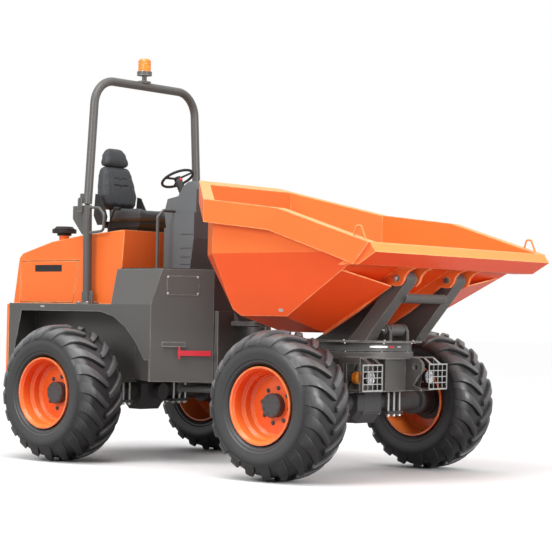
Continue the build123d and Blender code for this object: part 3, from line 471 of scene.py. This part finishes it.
def start(kind, name, **values):
    bpy.ops.object.select_all(action="DESELECT")
    getattr(bpy.ops.mesh, "primitive_" + kind + "_add")(**values)
    piece = bpy.context.object
    piece.name = piece.data.name = name
    bpy.ops.object.mode_set(mode="EDIT")
    return piece


def slide(x, y, z):
    bpy.ops.transform.translate(value=(x, y, z))


def pickAll():
    bpy.ops.mesh.select_all(action="SELECT")


def pickPoints(piece, wanted):
    # selects the points for which wanted(place) is true
    bpy.context.tool_settings.mesh_select_mode = (True, False, False)
    bpy.ops.mesh.select_all(action="DESELECT")
    mesh = bmesh.from_edit_mesh(piece.data)
    for point in mesh.verts:
        point.select = wanted(point.co)
    mesh.select_flush_mode()
    bmesh.update_edit_mesh(piece.data)


def pickFaces(piece, wanted):
    # selects the faces for which wanted(middle, normal) is true
    bpy.context.tool_settings.mesh_select_mode = (False, False, True)
    bpy.ops.mesh.select_all(action="DESELECT")
    mesh = bmesh.from_edit_mesh(piece.data)
    mesh.normal_update()
    for face in mesh.faces:
        face.select = wanted(face.calc_center_median(), face.normal)
    mesh.select_flush_mode()
    bmesh.update_edit_mesh(piece.data)


def pickEdges(piece, wanted):
    # selects the edges for which wanted(one end, other end) is true
    bpy.context.tool_settings.mesh_select_mode = (False, True, False)
    bpy.ops.mesh.select_all(action="DESELECT")
    mesh = bmesh.from_edit_mesh(piece.data)
    for edge in mesh.edges:
        edge.select = wanted(edge.verts[0].co, edge.verts[1].co)
    mesh.select_flush_mode()
    bmesh.update_edit_mesh(piece.data)


def tidyShell():
    # merges doubles and turns every face outwards
    pickAll()
    bpy.ops.mesh.remove_doubles(threshold=0.00002)
    bpy.ops.mesh.normals_make_consistent(inside=False)


def closeEdit(piece, smooth=30):
    tidyShell()
    bpy.ops.object.mode_set(mode="OBJECT")
    bpy.ops.object.select_all(action="DESELECT")
    piece.select_set(True)
    bpy.context.view_layer.objects.active = piece
    bpy.ops.object.shade_smooth_by_angle(angle=radians(smooth))


def dress(piece, body, slot, *replaced):
    piece.data.materials.clear()
    piece.data.materials.append(materials[slot])
    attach(piece, body)
    if replaced:
        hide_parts(*replaced)


def joined(pieces):
    bpy.ops.object.select_all(action="DESELECT")
    for piece in pieces:
        piece.select_set(True)
    bpy.context.view_layer.objects.active = pieces[0]
    bpy.ops.object.join()
    return bpy.context.object


def copied(piece, name, shift):
    # another of the same, moved by shift, with a mesh of its own
    twin = piece.copy()
    twin.data = piece.data.copy()
    twin.name = twin.data.name = name
    bpy.context.scene.collection.objects.link(twin)
    twin.data.transform(Matrix.Translation(shift))
    return twin


# turns what was spun round Y so that it stands along Z
upright = Vector((0, 1, 0)).rotation_difference(Vector((0, 0, 1))).to_matrix().to_4x4()


def spun(name, profile, centre, steps):
    # draws a profile of (along the axle, radius) point by point and spins it round the axle
    piece = start("plane", name, size=0.01)
    bpy.context.tool_settings.mesh_select_mode = (True, False, False)
    pickAll()
    bpy.ops.mesh.merge(type="CENTER")
    spots = [Vector(centre) + Vector((0, along, radius)) for along, radius in profile]
    slide(*spots[0])
    for last, spot in zip(spots, spots[1:]):
        bpy.ops.mesh.extrude_vertices_move(TRANSFORM_OT_translate={"value": spot - last})
    pickAll()
    bpy.ops.mesh.spin(steps=steps, angle=2 * pi, center=centre, axis=(0, 1, 0))
    tidyShell()
    return piece


# tyres: a spun casing and two rows of curved bars that meet at the middle

tyre = {
    "barsPerSide": 20,
    "steps": 120,
    # casing from the bead over the shoulder to the middle: inward from the side wall, radius
    "casing": [(0.060, 0.300), (0.046, 0.312), (0.032, 0.320), (0.0235, 0.330), (0.0180, 0.334),
               (0.0165, 0.340), (0.0175, 0.3445), (0.0120, 0.358), (0.0085, 0.361), (0.0080, 0.366),
               (0.002, 0.398), (0.000, 0.428), (0.006, 0.456), (0.018, 0.480), (0.038, 0.503),
               (0.066, 0.524), (0.102, 0.540), (0.150, 0.550), (0.250, 0.556)],
    # bar: across from the middle, lead in degrees, top radius, foot radius, foot across, half width
    "bar": [(0.004, 19.0, 0.5835, 0.548, 0.004, 0.021), (0.030, 17.6, 0.586, 0.548, 0.030, 0.026),
            (0.070, 14.2, 0.5845, 0.544, 0.068, 0.030), (0.110, 10.6, 0.579, 0.536, 0.104, 0.034),
            (0.145, 7.4, 0.569, 0.524, 0.136, 0.038), (0.175, 4.9, 0.555, 0.508, 0.162, 0.042),
            (0.201, 2.9, 0.536, 0.490, 0.185, 0.045), (0.222, 1.4, 0.512, 0.472, 0.203, 0.047),
            (0.237, 0.5, 0.486, 0.455, 0.215, 0.046), (0.2450, 0.0, 0.462, 0.440, 0.224, 0.041)],
    "barFoot": 1.22,        # how much wider the bar's foot is than its top
    "barEdge": 0.0035, "edgeAbove": 0.51,
    "aside": 10,            # where the bar's finished stations wait
    # radius where the lighter tops start, the grooves below staying dark as painted shade, and the height to the
    # full lighter colour: on the tread and beyond it
    "treadWearAndShade": (0.535, 0.045), "flankWearAndShade": (0.47, 0.06), "treadHalf": 0.17,
    "sideWearAndShade": 0.42, "sideBelow": 0.43, "sideBeyond": 0.252,
}


def makeBar():
    # one bar on the side of +Y: a long block, cut into stations that are moved and turned round the axle
    rows = tyre["bar"]
    bar = start("cube", "bar", size=1)
    bpy.ops.transform.resize(value=(1, rows[-1][0] - rows[0][0], 1))
    slide(0, (rows[-1][0] + rows[0][0]) / 2, 0)
    for row in rows[1:-1]:
        pickAll()
        bpy.ops.mesh.bisect(plane_co=(0, row[0], 0), plane_no=(0, 1, 0))
    for across, lead, top, foot, footAcross, width in rows:
        for upper in (True, False):
            pickPoints(bar, lambda p: abs(p.y - across) < 0.0004 and (p.z > 0) == upper and abs(p.z) < 0.6)
            high = top if upper else foot
            side = across if upper else footAcross
            spread = 2 * width * (1 if upper else tyre["barFoot"])
            bpy.ops.transform.resize(value=(spread, 1, 1), center_override=(0, across, 0))
            # set well aside, so that a station is never picked twice
            rise = high - (0.5 if upper else -0.5)
            slide(0, side - across + tyre["aside"], rise)
            bpy.ops.transform.rotate(value=radians(-lead), orient_axis="Y", center_override=(0, 0, 0))
    pickAll()
    slide(0, -tyre["aside"], 0)
    return bar


def markWearAndGrooveShade(piece, centre):
    # abrasion and painted shade by height above the axle: none in the grooves, which stay dark as painted shade,
    # full on the tops, some on the side walls
    wearAndGrooveShade = piece.data.attributes.new("wearAndGrooveShade", "FLOAT", "POINT")
    for point, mark in zip(piece.data.vertices, wearAndGrooveShade.data):
        away = point.co - centre
        radius = away.xz.length
        foot, depth = tyre["treadWearAndShade"] if abs(away.y) < tyre["treadHalf"] else tyre["flankWearAndShade"]
        onSide = radius < tyre["sideBelow"] or abs(away.y) > tyre["sideBeyond"]
        mark.value = min(max((radius - foot) / depth, tyre["sideWearAndShade"] if onSide else 0, 0), 1)


def makeTyre():
    low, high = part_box("tyre_front_right")
    centre = (low + high) / 2
    half = (high.y - low.y) / 2
    casing = [(half - inward, radius) for inward, radius in tyre["casing"]]
    casing += [(-across, radius) for across, radius in reversed(casing[:-1])]
    body = spun("casing", casing, centre, tyre["steps"])
    closeEdit(body, 40)
    bar = makeBar()
    tidyShell()
    pickEdges(bar, lambda a, b: min(a.xz.length, b.xz.length) > tyre["edgeAbove"])
    bpy.ops.mesh.bevel(offset=tyre["barEdge"], segments=2, affect="EDGES")
    pickAll()
    bpy.ops.mesh.duplicate()
    bpy.ops.transform.mirror(orient_type="GLOBAL", constraint_axis=(False, True, False),
                             center_override=(0, 0, 0))
    bpy.ops.transform.rotate(value=pi / tyre["barsPerSide"], orient_axis="Y", center_override=(0, 0, 0))
    pickAll()
    bpy.ops.mesh.normals_make_consistent(inside=False)
    count = tyre["barsPerSide"]
    bpy.ops.mesh.spin(steps=count - 1, angle=2 * pi * (count - 1) / count, dupli=True, center=(0, 0, 0),
                      axis=(0, 1, 0))
    pickAll()
    slide(*centre)
    closeEdit(bar, 35)
    whole = joined([body, bar])
    markWearAndGrooveShade(whole, centre)
    return whole, centre


firstTyre, firstCentre = makeTyre()
firstTyre.name = firstTyre.data.name = "tyre_front_right_tread"
for corner in corners:
    low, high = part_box("tyre_" + corner)
    piece = firstTyre
    if corner != "front_right":
        piece = copied(firstTyre, "tyre_" + corner + "_tread", (low + high) / 2 - firstCentre)
    dress(piece, "wheel_" + corner, "tyre_rubber", "tyre_" + corner)
print("tyres:", len(firstTyre.data.polygons), "faces each")


# seat: cushions that are blown up as cloth, then get their seams and channels

seat = {
    "voxel": 0.009,
    "pressure": 4.0,
    "frames": 20,
    "swell": 0.011,          # furthest that a point of a cushion may move out
    "start": 0.990,          # size before it swells
    "tilt": 9,               # degrees that the back leans
    # outline of the back and head rest, upwards: height share, half width, thickness share
    "backRows": [(0.00, 0.165, 0.72), (0.12, 0.200, 0.92), (0.30, 0.222, 1.00), (0.55, 0.212, 0.98),
                 (0.80, 0.192, 0.86), (1.00, 0.160, 0.66)],
    "headRows": [(0.00, 0.150, 0.80), (0.25, 0.146, 1.00), (0.65, 0.124, 0.96), (1.00, 0.084, 0.62)],
    "backHigh": 0.425, "backThick": 0.125,
    "headHigh": 0.172, "headThick": 0.105, "headLift": 0.415, "headAhead": 0.010,
    "roundShare": 0.30,      # of the thickness, for the back and the head rest
    "cushionRound": 0.034, "middleDip": 0.018, "frontDrop": 0.012,
    "fill": 0.8,
    # seams of the back: at the sides, then across (height, half length, width, depth)
    "sideSeam": dict(across=0.112, bulge=0.020, top=0.42, width=0.0045, depth=0.006),
    "channels": [(0.292, 0.082, 0.005, 0.009), (0.226, 0.094, 0.008, 0.012)],
    "channelDip": 0.012,
    # seams of the cushion: half the span between the rolls, then places along it
    "rollShare": 0.27, "cushionChannels": (0.10, -0.02),
}


def softened(piece, frames, swell):
    # blows the closed shape up as cloth and keeps each point within swell of where it was
    bpy.ops.object.select_all(action="DESELECT")
    piece.select_set(True)
    bpy.context.view_layer.objects.active = piece
    remesh = piece.modifiers.new("remesh", "REMESH")
    remesh.mode = "VOXEL"
    remesh.voxel_size = seat["voxel"]
    bpy.ops.object.modifier_apply(modifier=remesh.name)
    before = [point.co.copy() for point in piece.data.vertices]
    cloth = piece.modifiers.new("cloth", "CLOTH")
    cloth.settings.use_pressure = True
    cloth.settings.uniform_pressure_force = seat["pressure"]
    cloth.settings.effector_weights.gravity = 0
    cloth.point_cache.frame_start = 1
    cloth.point_cache.frame_end = frames
    for step in range(1, frames + 1):
        bpy.context.scene.frame_set(step)
    bpy.ops.object.modifier_apply(modifier=cloth.name)
    bpy.context.scene.frame_set(1)
    for point, old in zip(piece.data.vertices, before):
        move = point.co - old
        if move.length > swell:
            point.co = old + move.normalized() * swell
    divide = piece.modifiers.new("divide", "SUBSURF")
    divide.levels = divide.render_levels = 1
    bpy.ops.object.modifier_apply(modifier=divide.name)
    bpy.ops.object.shade_smooth()


def sewn(piece, seams):
    # each seam is a function that gives the distance of a point from it, its width and its depth
    normals = [point.normal.copy() for point in piece.data.vertices]
    for point, normal in zip(piece.data.vertices, normals):
        sink = 0
        for away, width, depth in seams:
            gap = away(point.co, normal)
            if gap < width * 3:
                sink = max(sink, depth * math.exp(-((gap / width) ** 2)))
        point.co -= normal * sink


def roundEdges(piece, width):
    # rounds the sharp edges of a closed shape
    rounding = piece.modifiers.new("round", "BEVEL")
    rounding.width = width
    rounding.segments = 4
    rounding.limit_method = "ANGLE"
    rounding.angle_limit = radians(40)
    bpy.ops.object.modifier_apply(modifier=rounding.name)


def rowBlock(name, rows, high, thick):
    # an upright block whose width and thickness follow the rows, its front towards +X
    block = start("cube", name, size=1)
    slide(0, 0, 0.5)
    for row in rows[1:-1]:
        pickAll()
        bpy.ops.mesh.bisect(plane_co=(0, 0, row[0]), plane_no=(0, 0, 1))
    for height, half, share in rows:
        pickPoints(block, lambda p: abs(p.z - height) < 0.001)
        bpy.ops.transform.resize(value=(thick * share, half * 2, 1), center_override=(0, 0, height))
    pickAll()
    bpy.ops.transform.resize(value=(1, 1, high), center_override=(0, 0, 0))
    bpy.ops.mesh.normals_make_consistent(inside=False)
    bpy.ops.object.mode_set(mode="OBJECT")
    roundEdges(block, thick * seat["roundShare"])
    return block


def leanAndPlace(piece, degrees, place):
    turn = Matrix.Translation(place) @ Matrix.Rotation(radians(-degrees), 4, "Y")
    piece.data.transform(turn)
    piece.data.update()


def makeBack():
    low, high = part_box("seat_back")
    foot = Vector(((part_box("seat_cushion")[0].x + low.x) / 2, 0, low.z + 0.005))
    tilt = seat["tilt"]
    back = rowBlock("seat_back_pad", seat["backRows"], seat["backHigh"], seat["backThick"])
    softened(back, seat["frames"], seat["swell"])
    seam = seat["sideSeam"]

    def side(height):
        return seam["across"] + seam["bulge"] * math.sin(pi * min(max(height / seam["top"], 0), 1))

    def channel(high, half):
        # dips in the middle
        dip = lambda across: max(0.0, seat["channelDip"] - abs(across) * 0.5)
        return lambda p, n: abs(p.z - high + dip(p.y)) if n.x > 0.2 and abs(p.y) < half else 1

    sewn(back, [
        (lambda p, n: abs(abs(p.y) - side(p.z)) if n.x > 0.2 and 0.02 < p.z < 0.41 else 1,
         seam["width"], seam["depth"]),
        *((channel(high, half), width, depth) for high, half, width, depth in seat["channels"]),
        (lambda p, n: abs(p.y) if n.x > 0.2 and 0.03 < p.z < 0.40 else 1, 0.003, 0.002),
        (lambda p, n: abs(p.x + 0.012) if abs(n.x) < 0.75 else 1, 0.003, 0.003),
    ])
    leanAndPlace(back, tilt, foot)
    dress(back, "rear_chassis", "seat_vinyl", "seat_back")
    head = rowBlock("seat_head_pad", seat["headRows"], seat["headHigh"], seat["headThick"])
    softened(head, seat["frames"], seat["swell"] * 0.6)
    sewn(head, [(lambda p, n: abs(p.x + 0.010) if abs(n.x) < 0.8 else 1, 0.003, 0.003)])
    head.data.transform(Matrix.Translation((seat["headAhead"], 0, seat["headLift"])))
    leanAndPlace(head, tilt, foot)
    dress(head, "rear_chassis", "seat_vinyl")


def makeCushion():
    low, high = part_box("seat_cushion")
    size, middle = high - low, (low + high) / 2
    pad = start("cube", "seat_cushion_pad", size=1)
    bpy.ops.transform.resize(value=size * seat["start"])
    for share in (-0.25, 0.25):
        pickAll()
        bpy.ops.mesh.bisect(plane_co=(0, size.y * share, 0), plane_no=(0, 1, 0))
    # the middle of the top lies lower than the side rolls, and the front edge drops
    pickPoints(pad, lambda p: p.z > 0 and abs(p.y) < size.y * 0.3)
    slide(0, 0, -seat["middleDip"])
    pickPoints(pad, lambda p: p.z > 0 and p.x > 0)
    slide(0, 0, -seat["frontDrop"])
    pickAll()
    bpy.ops.mesh.normals_make_consistent(inside=False)
    bpy.ops.object.mode_set(mode="OBJECT")
    roundEdges(pad, seat["cushionRound"])
    softened(pad, seat["frames"], seat["swell"])
    roll = size.y * seat["rollShare"]
    front, rear = seat["cushionChannels"]
    sewn(pad, [
        (lambda p, n: abs(abs(p.y) - roll) if n.z > 0.2 and abs(p.x) < size.x * 0.46 else 1, 0.0045, 0.007),
        (lambda p, n: abs(p.x - front) if n.z > 0.2 and abs(p.y) < roll else 1, 0.006, 0.007),
        (lambda p, n: abs(p.x - rear) if n.z > 0.2 and abs(p.y) < roll else 1, 0.006, 0.007),
        (lambda p, n: abs(p.z + 0.018) if abs(n.z) < 0.7 else 1, 0.003, 0.003),
    ])
    pad.data.transform(Matrix.Translation(middle))
    dress(pad, "rear_chassis", "seat_vinyl", "seat_cushion")


makeBack()
makeCushion()
print("seat cushions blown up and sewn")


# small parts: bolts, caps, lamps and plates, all modelled once and copied

def aimed(axis, place):
    # turns what points along +Z so that it points along axis, and moves it to place
    turn = Vector((0, 0, 1)).rotation_difference(Vector(axis)).to_matrix().to_4x4()
    return Matrix.Translation(place) @ turn


bolt = {
    # shares of the head's radius: width, height, middle's height, rim, how far the crown stands up
    "washer": (1.45, 0.3, 0.15, 0.12, 0.06),
    "head": (1.0, 0.7, 0.62, 0.16, 0.10),
    "sides": {"washer": 16, "head": 6},
}


def makeBolt(radius):
    # a hexagon head with a chamfered crown on a round washer, pointing up from the origin
    parts = []
    for part in ("washer", "head"):
        wide, high, middle, rim, crown = bolt[part]
        piece = start("cylinder", part, vertices=bolt["sides"][part], radius=radius * wide,
                      depth=radius * high)
        slide(0, 0, radius * middle)
        pickFaces(piece, lambda p, n: n.z > 0.5)
        bpy.ops.mesh.inset(thickness=radius * rim)
        slide(0, 0, radius * crown)
        closeEdit(piece)
        parts.append(piece)
    return joined(parts)


def scattered(first, name, spots):
    # copies of first at every (place, axis), joined as one piece; first itself goes
    twins = []
    for place, axis in spots:
        twin = copied(first, name, (0, 0, 0))
        twin.data.transform(aimed(axis, place))
        twins.append(twin)
    bpy.data.objects.remove(first)
    whole = joined(twins)
    whole.name = whole.data.name = name
    return whole


def ring(centre, radius, count, first=0.0, axis=(0, 0, 1)):
    # places round a centre, each with the axis that its bolt points along
    spots = []
    for step in range(count):
        angle = radians(first + 360 * step / count)
        if abs(axis[2]) > 0.5:
            away = Vector((cos(angle), sin(angle), 0))
        else:
            away = Vector((sin(angle), 0, cos(angle)))
        spots.append((Vector(centre) + away * radius, axis))
    return spots


fasteners = {
    "wheelNut": dict(radius=0.0125, ring=0.1375, across=1.020, count=8, first=10),
    "hubBolt": dict(radius=0.0055, ring=0.068, across=1.088, count=8, first=22),
    # on the slanting side cover: from its corner, along its slope
    "coverBolt": dict(radius=0.0065, along=(0.143, 0.397), high=(1.452, 1.592), corner=(-0.380, 0.760),
                      slope=(0.6638, 0.7479), proud=0.006),
    "slewMiddle": 1.270,
    "plateBolt": dict(radius=0.0085, ring=0.470, below=0.455, top=1.095, under=1.080, count=9, first=-69),
    "slewBolt": dict(radius=0.0062, ring=0.4215, top=1.005, count=9, first=-69),
    "footBolt": dict(radius=0.0095, along=(-1.283, -1.177), across=(0.642, 0.735), high=1.367),
}


def makeFasteners():
    for corner in corners:
        low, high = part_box("rim_" + corner)
        centre = (low + high) / 2
        side = 1 if centre.y > 0 else -1
        nut, small = fasteners["wheelNut"], fasteners["hubBolt"]
        disc = Vector((centre.x, side * nut["across"], centre.z))
        spots = ring(disc, nut["ring"], nut["count"], nut["first"], (0, side, 0))
        nuts = scattered(makeBolt(nut["radius"]), "wheel_nuts_" + corner, spots)
        dress(nuts, "wheel_" + corner, "hub_paint")
        face = Vector((centre.x, side * small["across"], centre.z))
        spots = ring(face, small["ring"], small["count"], small["first"], (0, side, 0))
        bolts = scattered(makeBolt(small["radius"]), "hub_bolts_" + corner, spots)
        dress(bolts, "wheel_" + corner, "hub_paint")
    cover = fasteners["coverBolt"]
    (startX, startY), (runX, runY) = cover["corner"], cover["slope"]
    spots = []
    for side in (-1, 1):
        for along in cover["along"]:
            for high in cover["high"]:
                out = Vector((runY, runX * side, 0))
                spot = Vector((startX + runX * along, side * (startY - runY * along), high))
                spots.append((spot + out * cover["proud"], out))
    dress(scattered(makeBolt(cover["radius"]), "cover_bolts", spots), "rear_chassis", "guard_steel")
    plate, middle = fasteners["plateBolt"], fasteners["slewMiddle"]
    spots = ring((middle, 0, plate["top"]), plate["ring"], plate["count"], plate["first"])
    spots += ring((middle, 0, plate["under"]), plate["below"], plate["count"], plate["first"], (0, 0, -1))
    dress(scattered(makeBolt(plate["radius"]), "turntable_bolts", spots), "turntable", "guard_steel")
    slew = fasteners["slewBolt"]
    spots = ring((middle, 0, slew["top"]), slew["ring"], slew["count"], slew["first"])
    dress(scattered(makeBolt(slew["radius"]), "slew_bolts", spots), "front_chassis", "guard_steel")
    foot = fasteners["footBolt"]
    spots = [((x, side * y, foot["high"]), (0, 0, 1)) for x in foot["along"] for side in (-1, 1)
             for y in foot["across"]]
    dress(scattered(makeBolt(foot["radius"]), "hoop_foot_bolts", spots), "rear_chassis", "guard_steel")


stud = {
    "axles": (("front", "front_chassis", 1.239), ("rear", "rear_chassis", -1.199)),
    "radius": 0.0128, "high": 0.182, "edge": 0.0015, "nut": 0.0155,
    "foot": 0.482, "fromAxle": 0.108, "across": (0.285, 0.3625, 0.440),
}


def makeStuds():
    # bright studs that clamp each frame on its axle, with their nuts
    for name, body, middle in stud["axles"]:
        rod = start("cylinder", "stud", vertices=12, radius=stud["radius"], depth=stud["high"])
        slide(0, 0, stud["high"] / 2)
        pickEdges(rod, lambda a, b: abs(a.z - b.z) < 0.001)
        bpy.ops.mesh.bevel(offset=stud["edge"], segments=1, affect="EDGES")
        closeEdit(rod)
        places = [(middle + dx, side * y, stud["foot"]) for dx in (-stud["fromAxle"], stud["fromAxle"])
                  for side in (-1, 1) for y in stud["across"]]
        rods = scattered(rod, name + "_studs", [(place, (0, 0, 1)) for place in places])
        nuts = scattered(makeBolt(stud["nut"]), name + "_stud_nuts",
                         [(place, (0, 0, -1)) for place in places])
        dress(joined([rods, nuts]), body, "guard_steel")


pinCaps = {
    # profile of (along the pin, radius), and the left end of each pin
    "profile": [(0.0, 0.0), (0.0, 0.0235), (0.004, 0.0235), (0.0065, 0.021), (0.0065, 0.012),
                (0.009, 0.0105), (0.009, 0.0)],
    "ends": {"tip_pin_caps": (1.960, 0.480, 1.585), "foot_pin_caps": (1.600, 0.148, 1.180)},
}


def makeCaps():
    # turned caps over the ends of the tipping pins and of the cylinder's foot pin
    for name, (x, y, z) in pinCaps["ends"].items():
        cap = spun("cap", pinCaps["profile"], (0, 0, 0), 24)
        closeEdit(cap)
        cap.data.transform(upright)
        spots = [((x, side * y, z), (0, side, 0)) for side in (-1, 1)]
        dress(scattered(cap, name, spots), "turntable", "guard_steel")


makeFasteners()
makeStuds()
makeCaps()
print("bolts, nuts and caps placed")


headlamps = {
    "places": [(1.6403, -0.397, 0.803), (1.6403, 0.397, 0.803)],
    # profiles of (along the lamp, radius)
    "housing": [(0.0, 0.0), (0.0, 0.046), (0.010, 0.056), (0.030, 0.0615), (0.037, 0.0615), (0.037, 0.0575),
                (0.0325, 0.0570), (0.0325, 0.0)],
    "reflector": [(0.0328, 0.0566), (0.0368, 0.0566), (0.0350, 0.044), (0.0338, 0.020), (0.0334, 0.0),
                  (0.0330, 0.0), (0.0330, 0.020), (0.0334, 0.044)],
    "lens": [(0.0372, 0.0), (0.0372, 0.0570), (0.0395, 0.0570), (0.0425, 0.040), (0.0441, 0.020),
             (0.0446, 0.0)],
}


def makeHeadlamps():
    for part, slot in (("housing", "black_plastic"), ("reflector", "rod_chrome"), ("lens", "lamp_glass")):
        shell = spun(part, headlamps[part], (0, 0, 0), 36)
        closeEdit(shell, 35)
        shell.data.transform(upright)
        whole = scattered(shell, "headlamp_" + part, [(place, (1, 0, 0)) for place in headlamps["places"]])
        dress(whole, "front_chassis", slot, *(["headlamps"] if part == "housing" else []))


beacon = {
    # upwards from the foot, radius: a ribbed lens under a low dome
    "foot": 3.4745,
    "ribs": 7, "ribLow": 0.012, "ribHigh": 0.098, "radius": 0.0590, "groove": 0.0565,
    "base": [(0.0, 0.0), (0.0, 0.0595), (0.010, 0.0595)],
    "dome": [(0.108, 0.052), (0.115, 0.040), (0.1185, 0.020), (0.1192, 0.0)],
}


def makeBeacon():
    profile = beacon["base"] + [(beacon["ribLow"], beacon["groove"])]
    pitch = (beacon["ribHigh"] - beacon["ribLow"]) / beacon["ribs"]
    for rib in range(beacon["ribs"]):
        base = beacon["ribLow"] + rib * pitch
        profile += [(base + pitch * 0.3, beacon["radius"]), (base + pitch * 0.7, beacon["radius"]),
                    (base + pitch, beacon["groove"])]
    lens = spun("beacon_ribbed_lens", profile + beacon["dome"], (0, 0, 0), 48)
    closeEdit(lens, 35)
    low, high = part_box("beacon_lens")
    foot = ((low.x + high.x) / 2, (low.y + high.y) / 2, beacon["foot"])
    lens.data.transform(Matrix.Translation(foot) @ upright)
    dress(lens, "rops_top", "amber_lens", "beacon_lens")


def makePlate(name, body, slot, size, place, axis, corner):
    # a thin bare plate with rounded corners and a stepped rim, its face along axis
    plate = start("cube", name, size=1)
    bpy.ops.transform.resize(value=size)
    slide(0, 0, size[2] / 2)
    pickEdges(plate, lambda a, b: abs(a.z - b.z) > size[2] / 2)
    bpy.ops.mesh.bevel(offset=corner, segments=3, affect="EDGES")
    pickFaces(plate, lambda p, n: n.z > 0.5)
    bpy.ops.mesh.inset(thickness=min(size[:2]) * 0.10)
    slide(0, 0, -size[2] * 0.25)
    closeEdit(plate)
    plate.data.transform(aimed(axis, place))
    dress(plate, body, slot)


def makeArc(name, body, slot, centre, radius, thick, low, high, first, last):
    # a strip that lies round a ring, from one angle to another in degrees
    strip = start("plane", name, size=1)
    bpy.ops.transform.rotate(value=pi / 2, orient_axis="X", center_override=(0, 0, 0))
    bpy.ops.transform.resize(value=(thick, 1, high - low))
    slide(radius + thick / 2, 0, (low + high) / 2)
    bpy.ops.mesh.spin(steps=10, angle=radians(last - first), center=(0, 0, 0), axis=(0, 0, 1))
    closeEdit(strip)
    turns = [math.atan2(point.co.y, point.co.x) for point in strip.data.vertices]
    shift = radians(first) if max(turns) > abs(min(turns)) else radians(last)
    strip.data.transform(Matrix.Translation(centre) @ Matrix.Rotation(shift, 4, "Z"))
    dress(strip, body, slot)


column = {
    "top": (-0.820, 0, 2.490), "along": (-0.4848, 0, 0.8746),
    # down the column from the wheel, radius: a boot of soft folds
    "bootFrom": 0.030, "bootTo": 0.190, "folds": 8, "radius": 0.0345, "waist": 0.0295, "bootEnd": 0.0285,
    "knob": [(0.0, 0.0), (0.0, 0.007), (0.022, 0.0065), (0.024, 0.014), (0.033, 0.018), (0.043, 0.015),
             (0.048, 0.006), (0.049, 0.0)],
    "knobFoot": (-0.800, 0, 2.4530), "knobAlong": (0.62, 0, 0.785),
}


def makeColumn():
    pitch = (column["bootTo"] - column["bootFrom"]) / column["folds"]
    profile = [(-column["bootTo"], column["bootEnd"])]
    for fold in range(column["folds"], 0, -1):
        foldFoot = column["bootFrom"] + fold * pitch
        profile += [(-foldFoot + 0.001, column["waist"]), (-foldFoot + pitch * 0.35, column["radius"]),
                    (-foldFoot + pitch * 0.65, column["radius"])]
    profile += [(-column["bootFrom"] - 0.001, column["waist"]), (-column["bootFrom"], column["bootEnd"])]
    boot = spun("column_boot", profile + [profile[0]], (0, 0, 0), 28)
    closeEdit(boot, 50)
    boot.data.transform(aimed(column["along"], column["top"]) @ upright)
    dress(boot, "rear_chassis", "black_rubber")
    knob = spun("column_knob", column["knob"], (0, 0, 0), 20)
    closeEdit(knob, 50)
    knob.data.transform(aimed(column["knobAlong"], column["knobFoot"]) @ upright)
    dress(knob, "rear_chassis", "red_paint")


plates = {
    # body, slot, size, place and facing of the left one, rounding of the corners
    "side_plate": ("door", "black_plastic", (0.350, 0.060, 0.0016), (-1.812, 0.6201, 1.672),
                   (0, 1, 0), 0.004),
    "fender_plate": ("rear_chassis", "guard_steel", (0.050, 0.014, 0.0014), (-1.725, 0.7601, 1.329),
                     (0, 1, 0), 0.002),
    # a black sheet at the back of each lamp box: painted shade where the recess lies in shade
    "lamp_recess_shade_sheet": ("front_chassis", "black_rubber", (0.235, 0.160, 0.0015), (1.5182, 0.411, 0.826),
                    (1, 0, 0), 0.004),
    "rear_lamp_stop": ("rear_chassis", "red_paint", (0.104, 0.066, 0.0005), (-2.3099, 0.480, 1.210),
                       (-1, 0, 0), 0.004),
    "rear_lamp_turn": ("rear_chassis", "amber_lens", (0.104, 0.066, 0.0005), (-2.3099, 0.552, 1.210),
                       (-1, 0, 0), 0.004),
}
# the one small plate on the skip's right side
skipPlate = ("skip", "guard_steel", (0.046, 0.024, 0.0014), (1.2289, -0.9668, 1.3229),
             (0, -0.945, -0.328), 0.008)


def makePlates():
    for side, hand in hands:
        for name, (body, slot, size, place, facing, corner) in plates.items():
            mirror = Vector((1, side, 1))
            rides = body + "_" + hand if body == "door" else body
            makePlate(name + "_" + hand, rides, slot, size, Vector(place) * mirror,
                      Vector(facing) * mirror, corner)
    makePlate("skip_plate", *skipPlate)


strips = {
    "middle": (1.270, 0, 0), "radius": 0.4152,
    # slot, thickness, low and high edge, from and to in degrees
    "pieces": {
        "turntable_strip": ("guard_steel", 0.0014, 1.040, 1.054, -42.4, -21.5),
        "turntable_reflector": ("red_paint", 0.0020, 1.039, 1.054, -19.5, -13.0),
        "turntable_tag": ("guard_steel", 0.0014, 1.041, 1.054, -7.5, -2.0),
    },
}


def makeStrips():
    for name, (slot, *shape) in strips["pieces"].items():
        makeArc(name, "turntable", slot, strips["middle"], strips["radius"], *shape)


makeHeadlamps()
makeBeacon()
makeColumn()
makePlates()
makeStrips()
print("lamps, beacon and plates placed")

low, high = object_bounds()
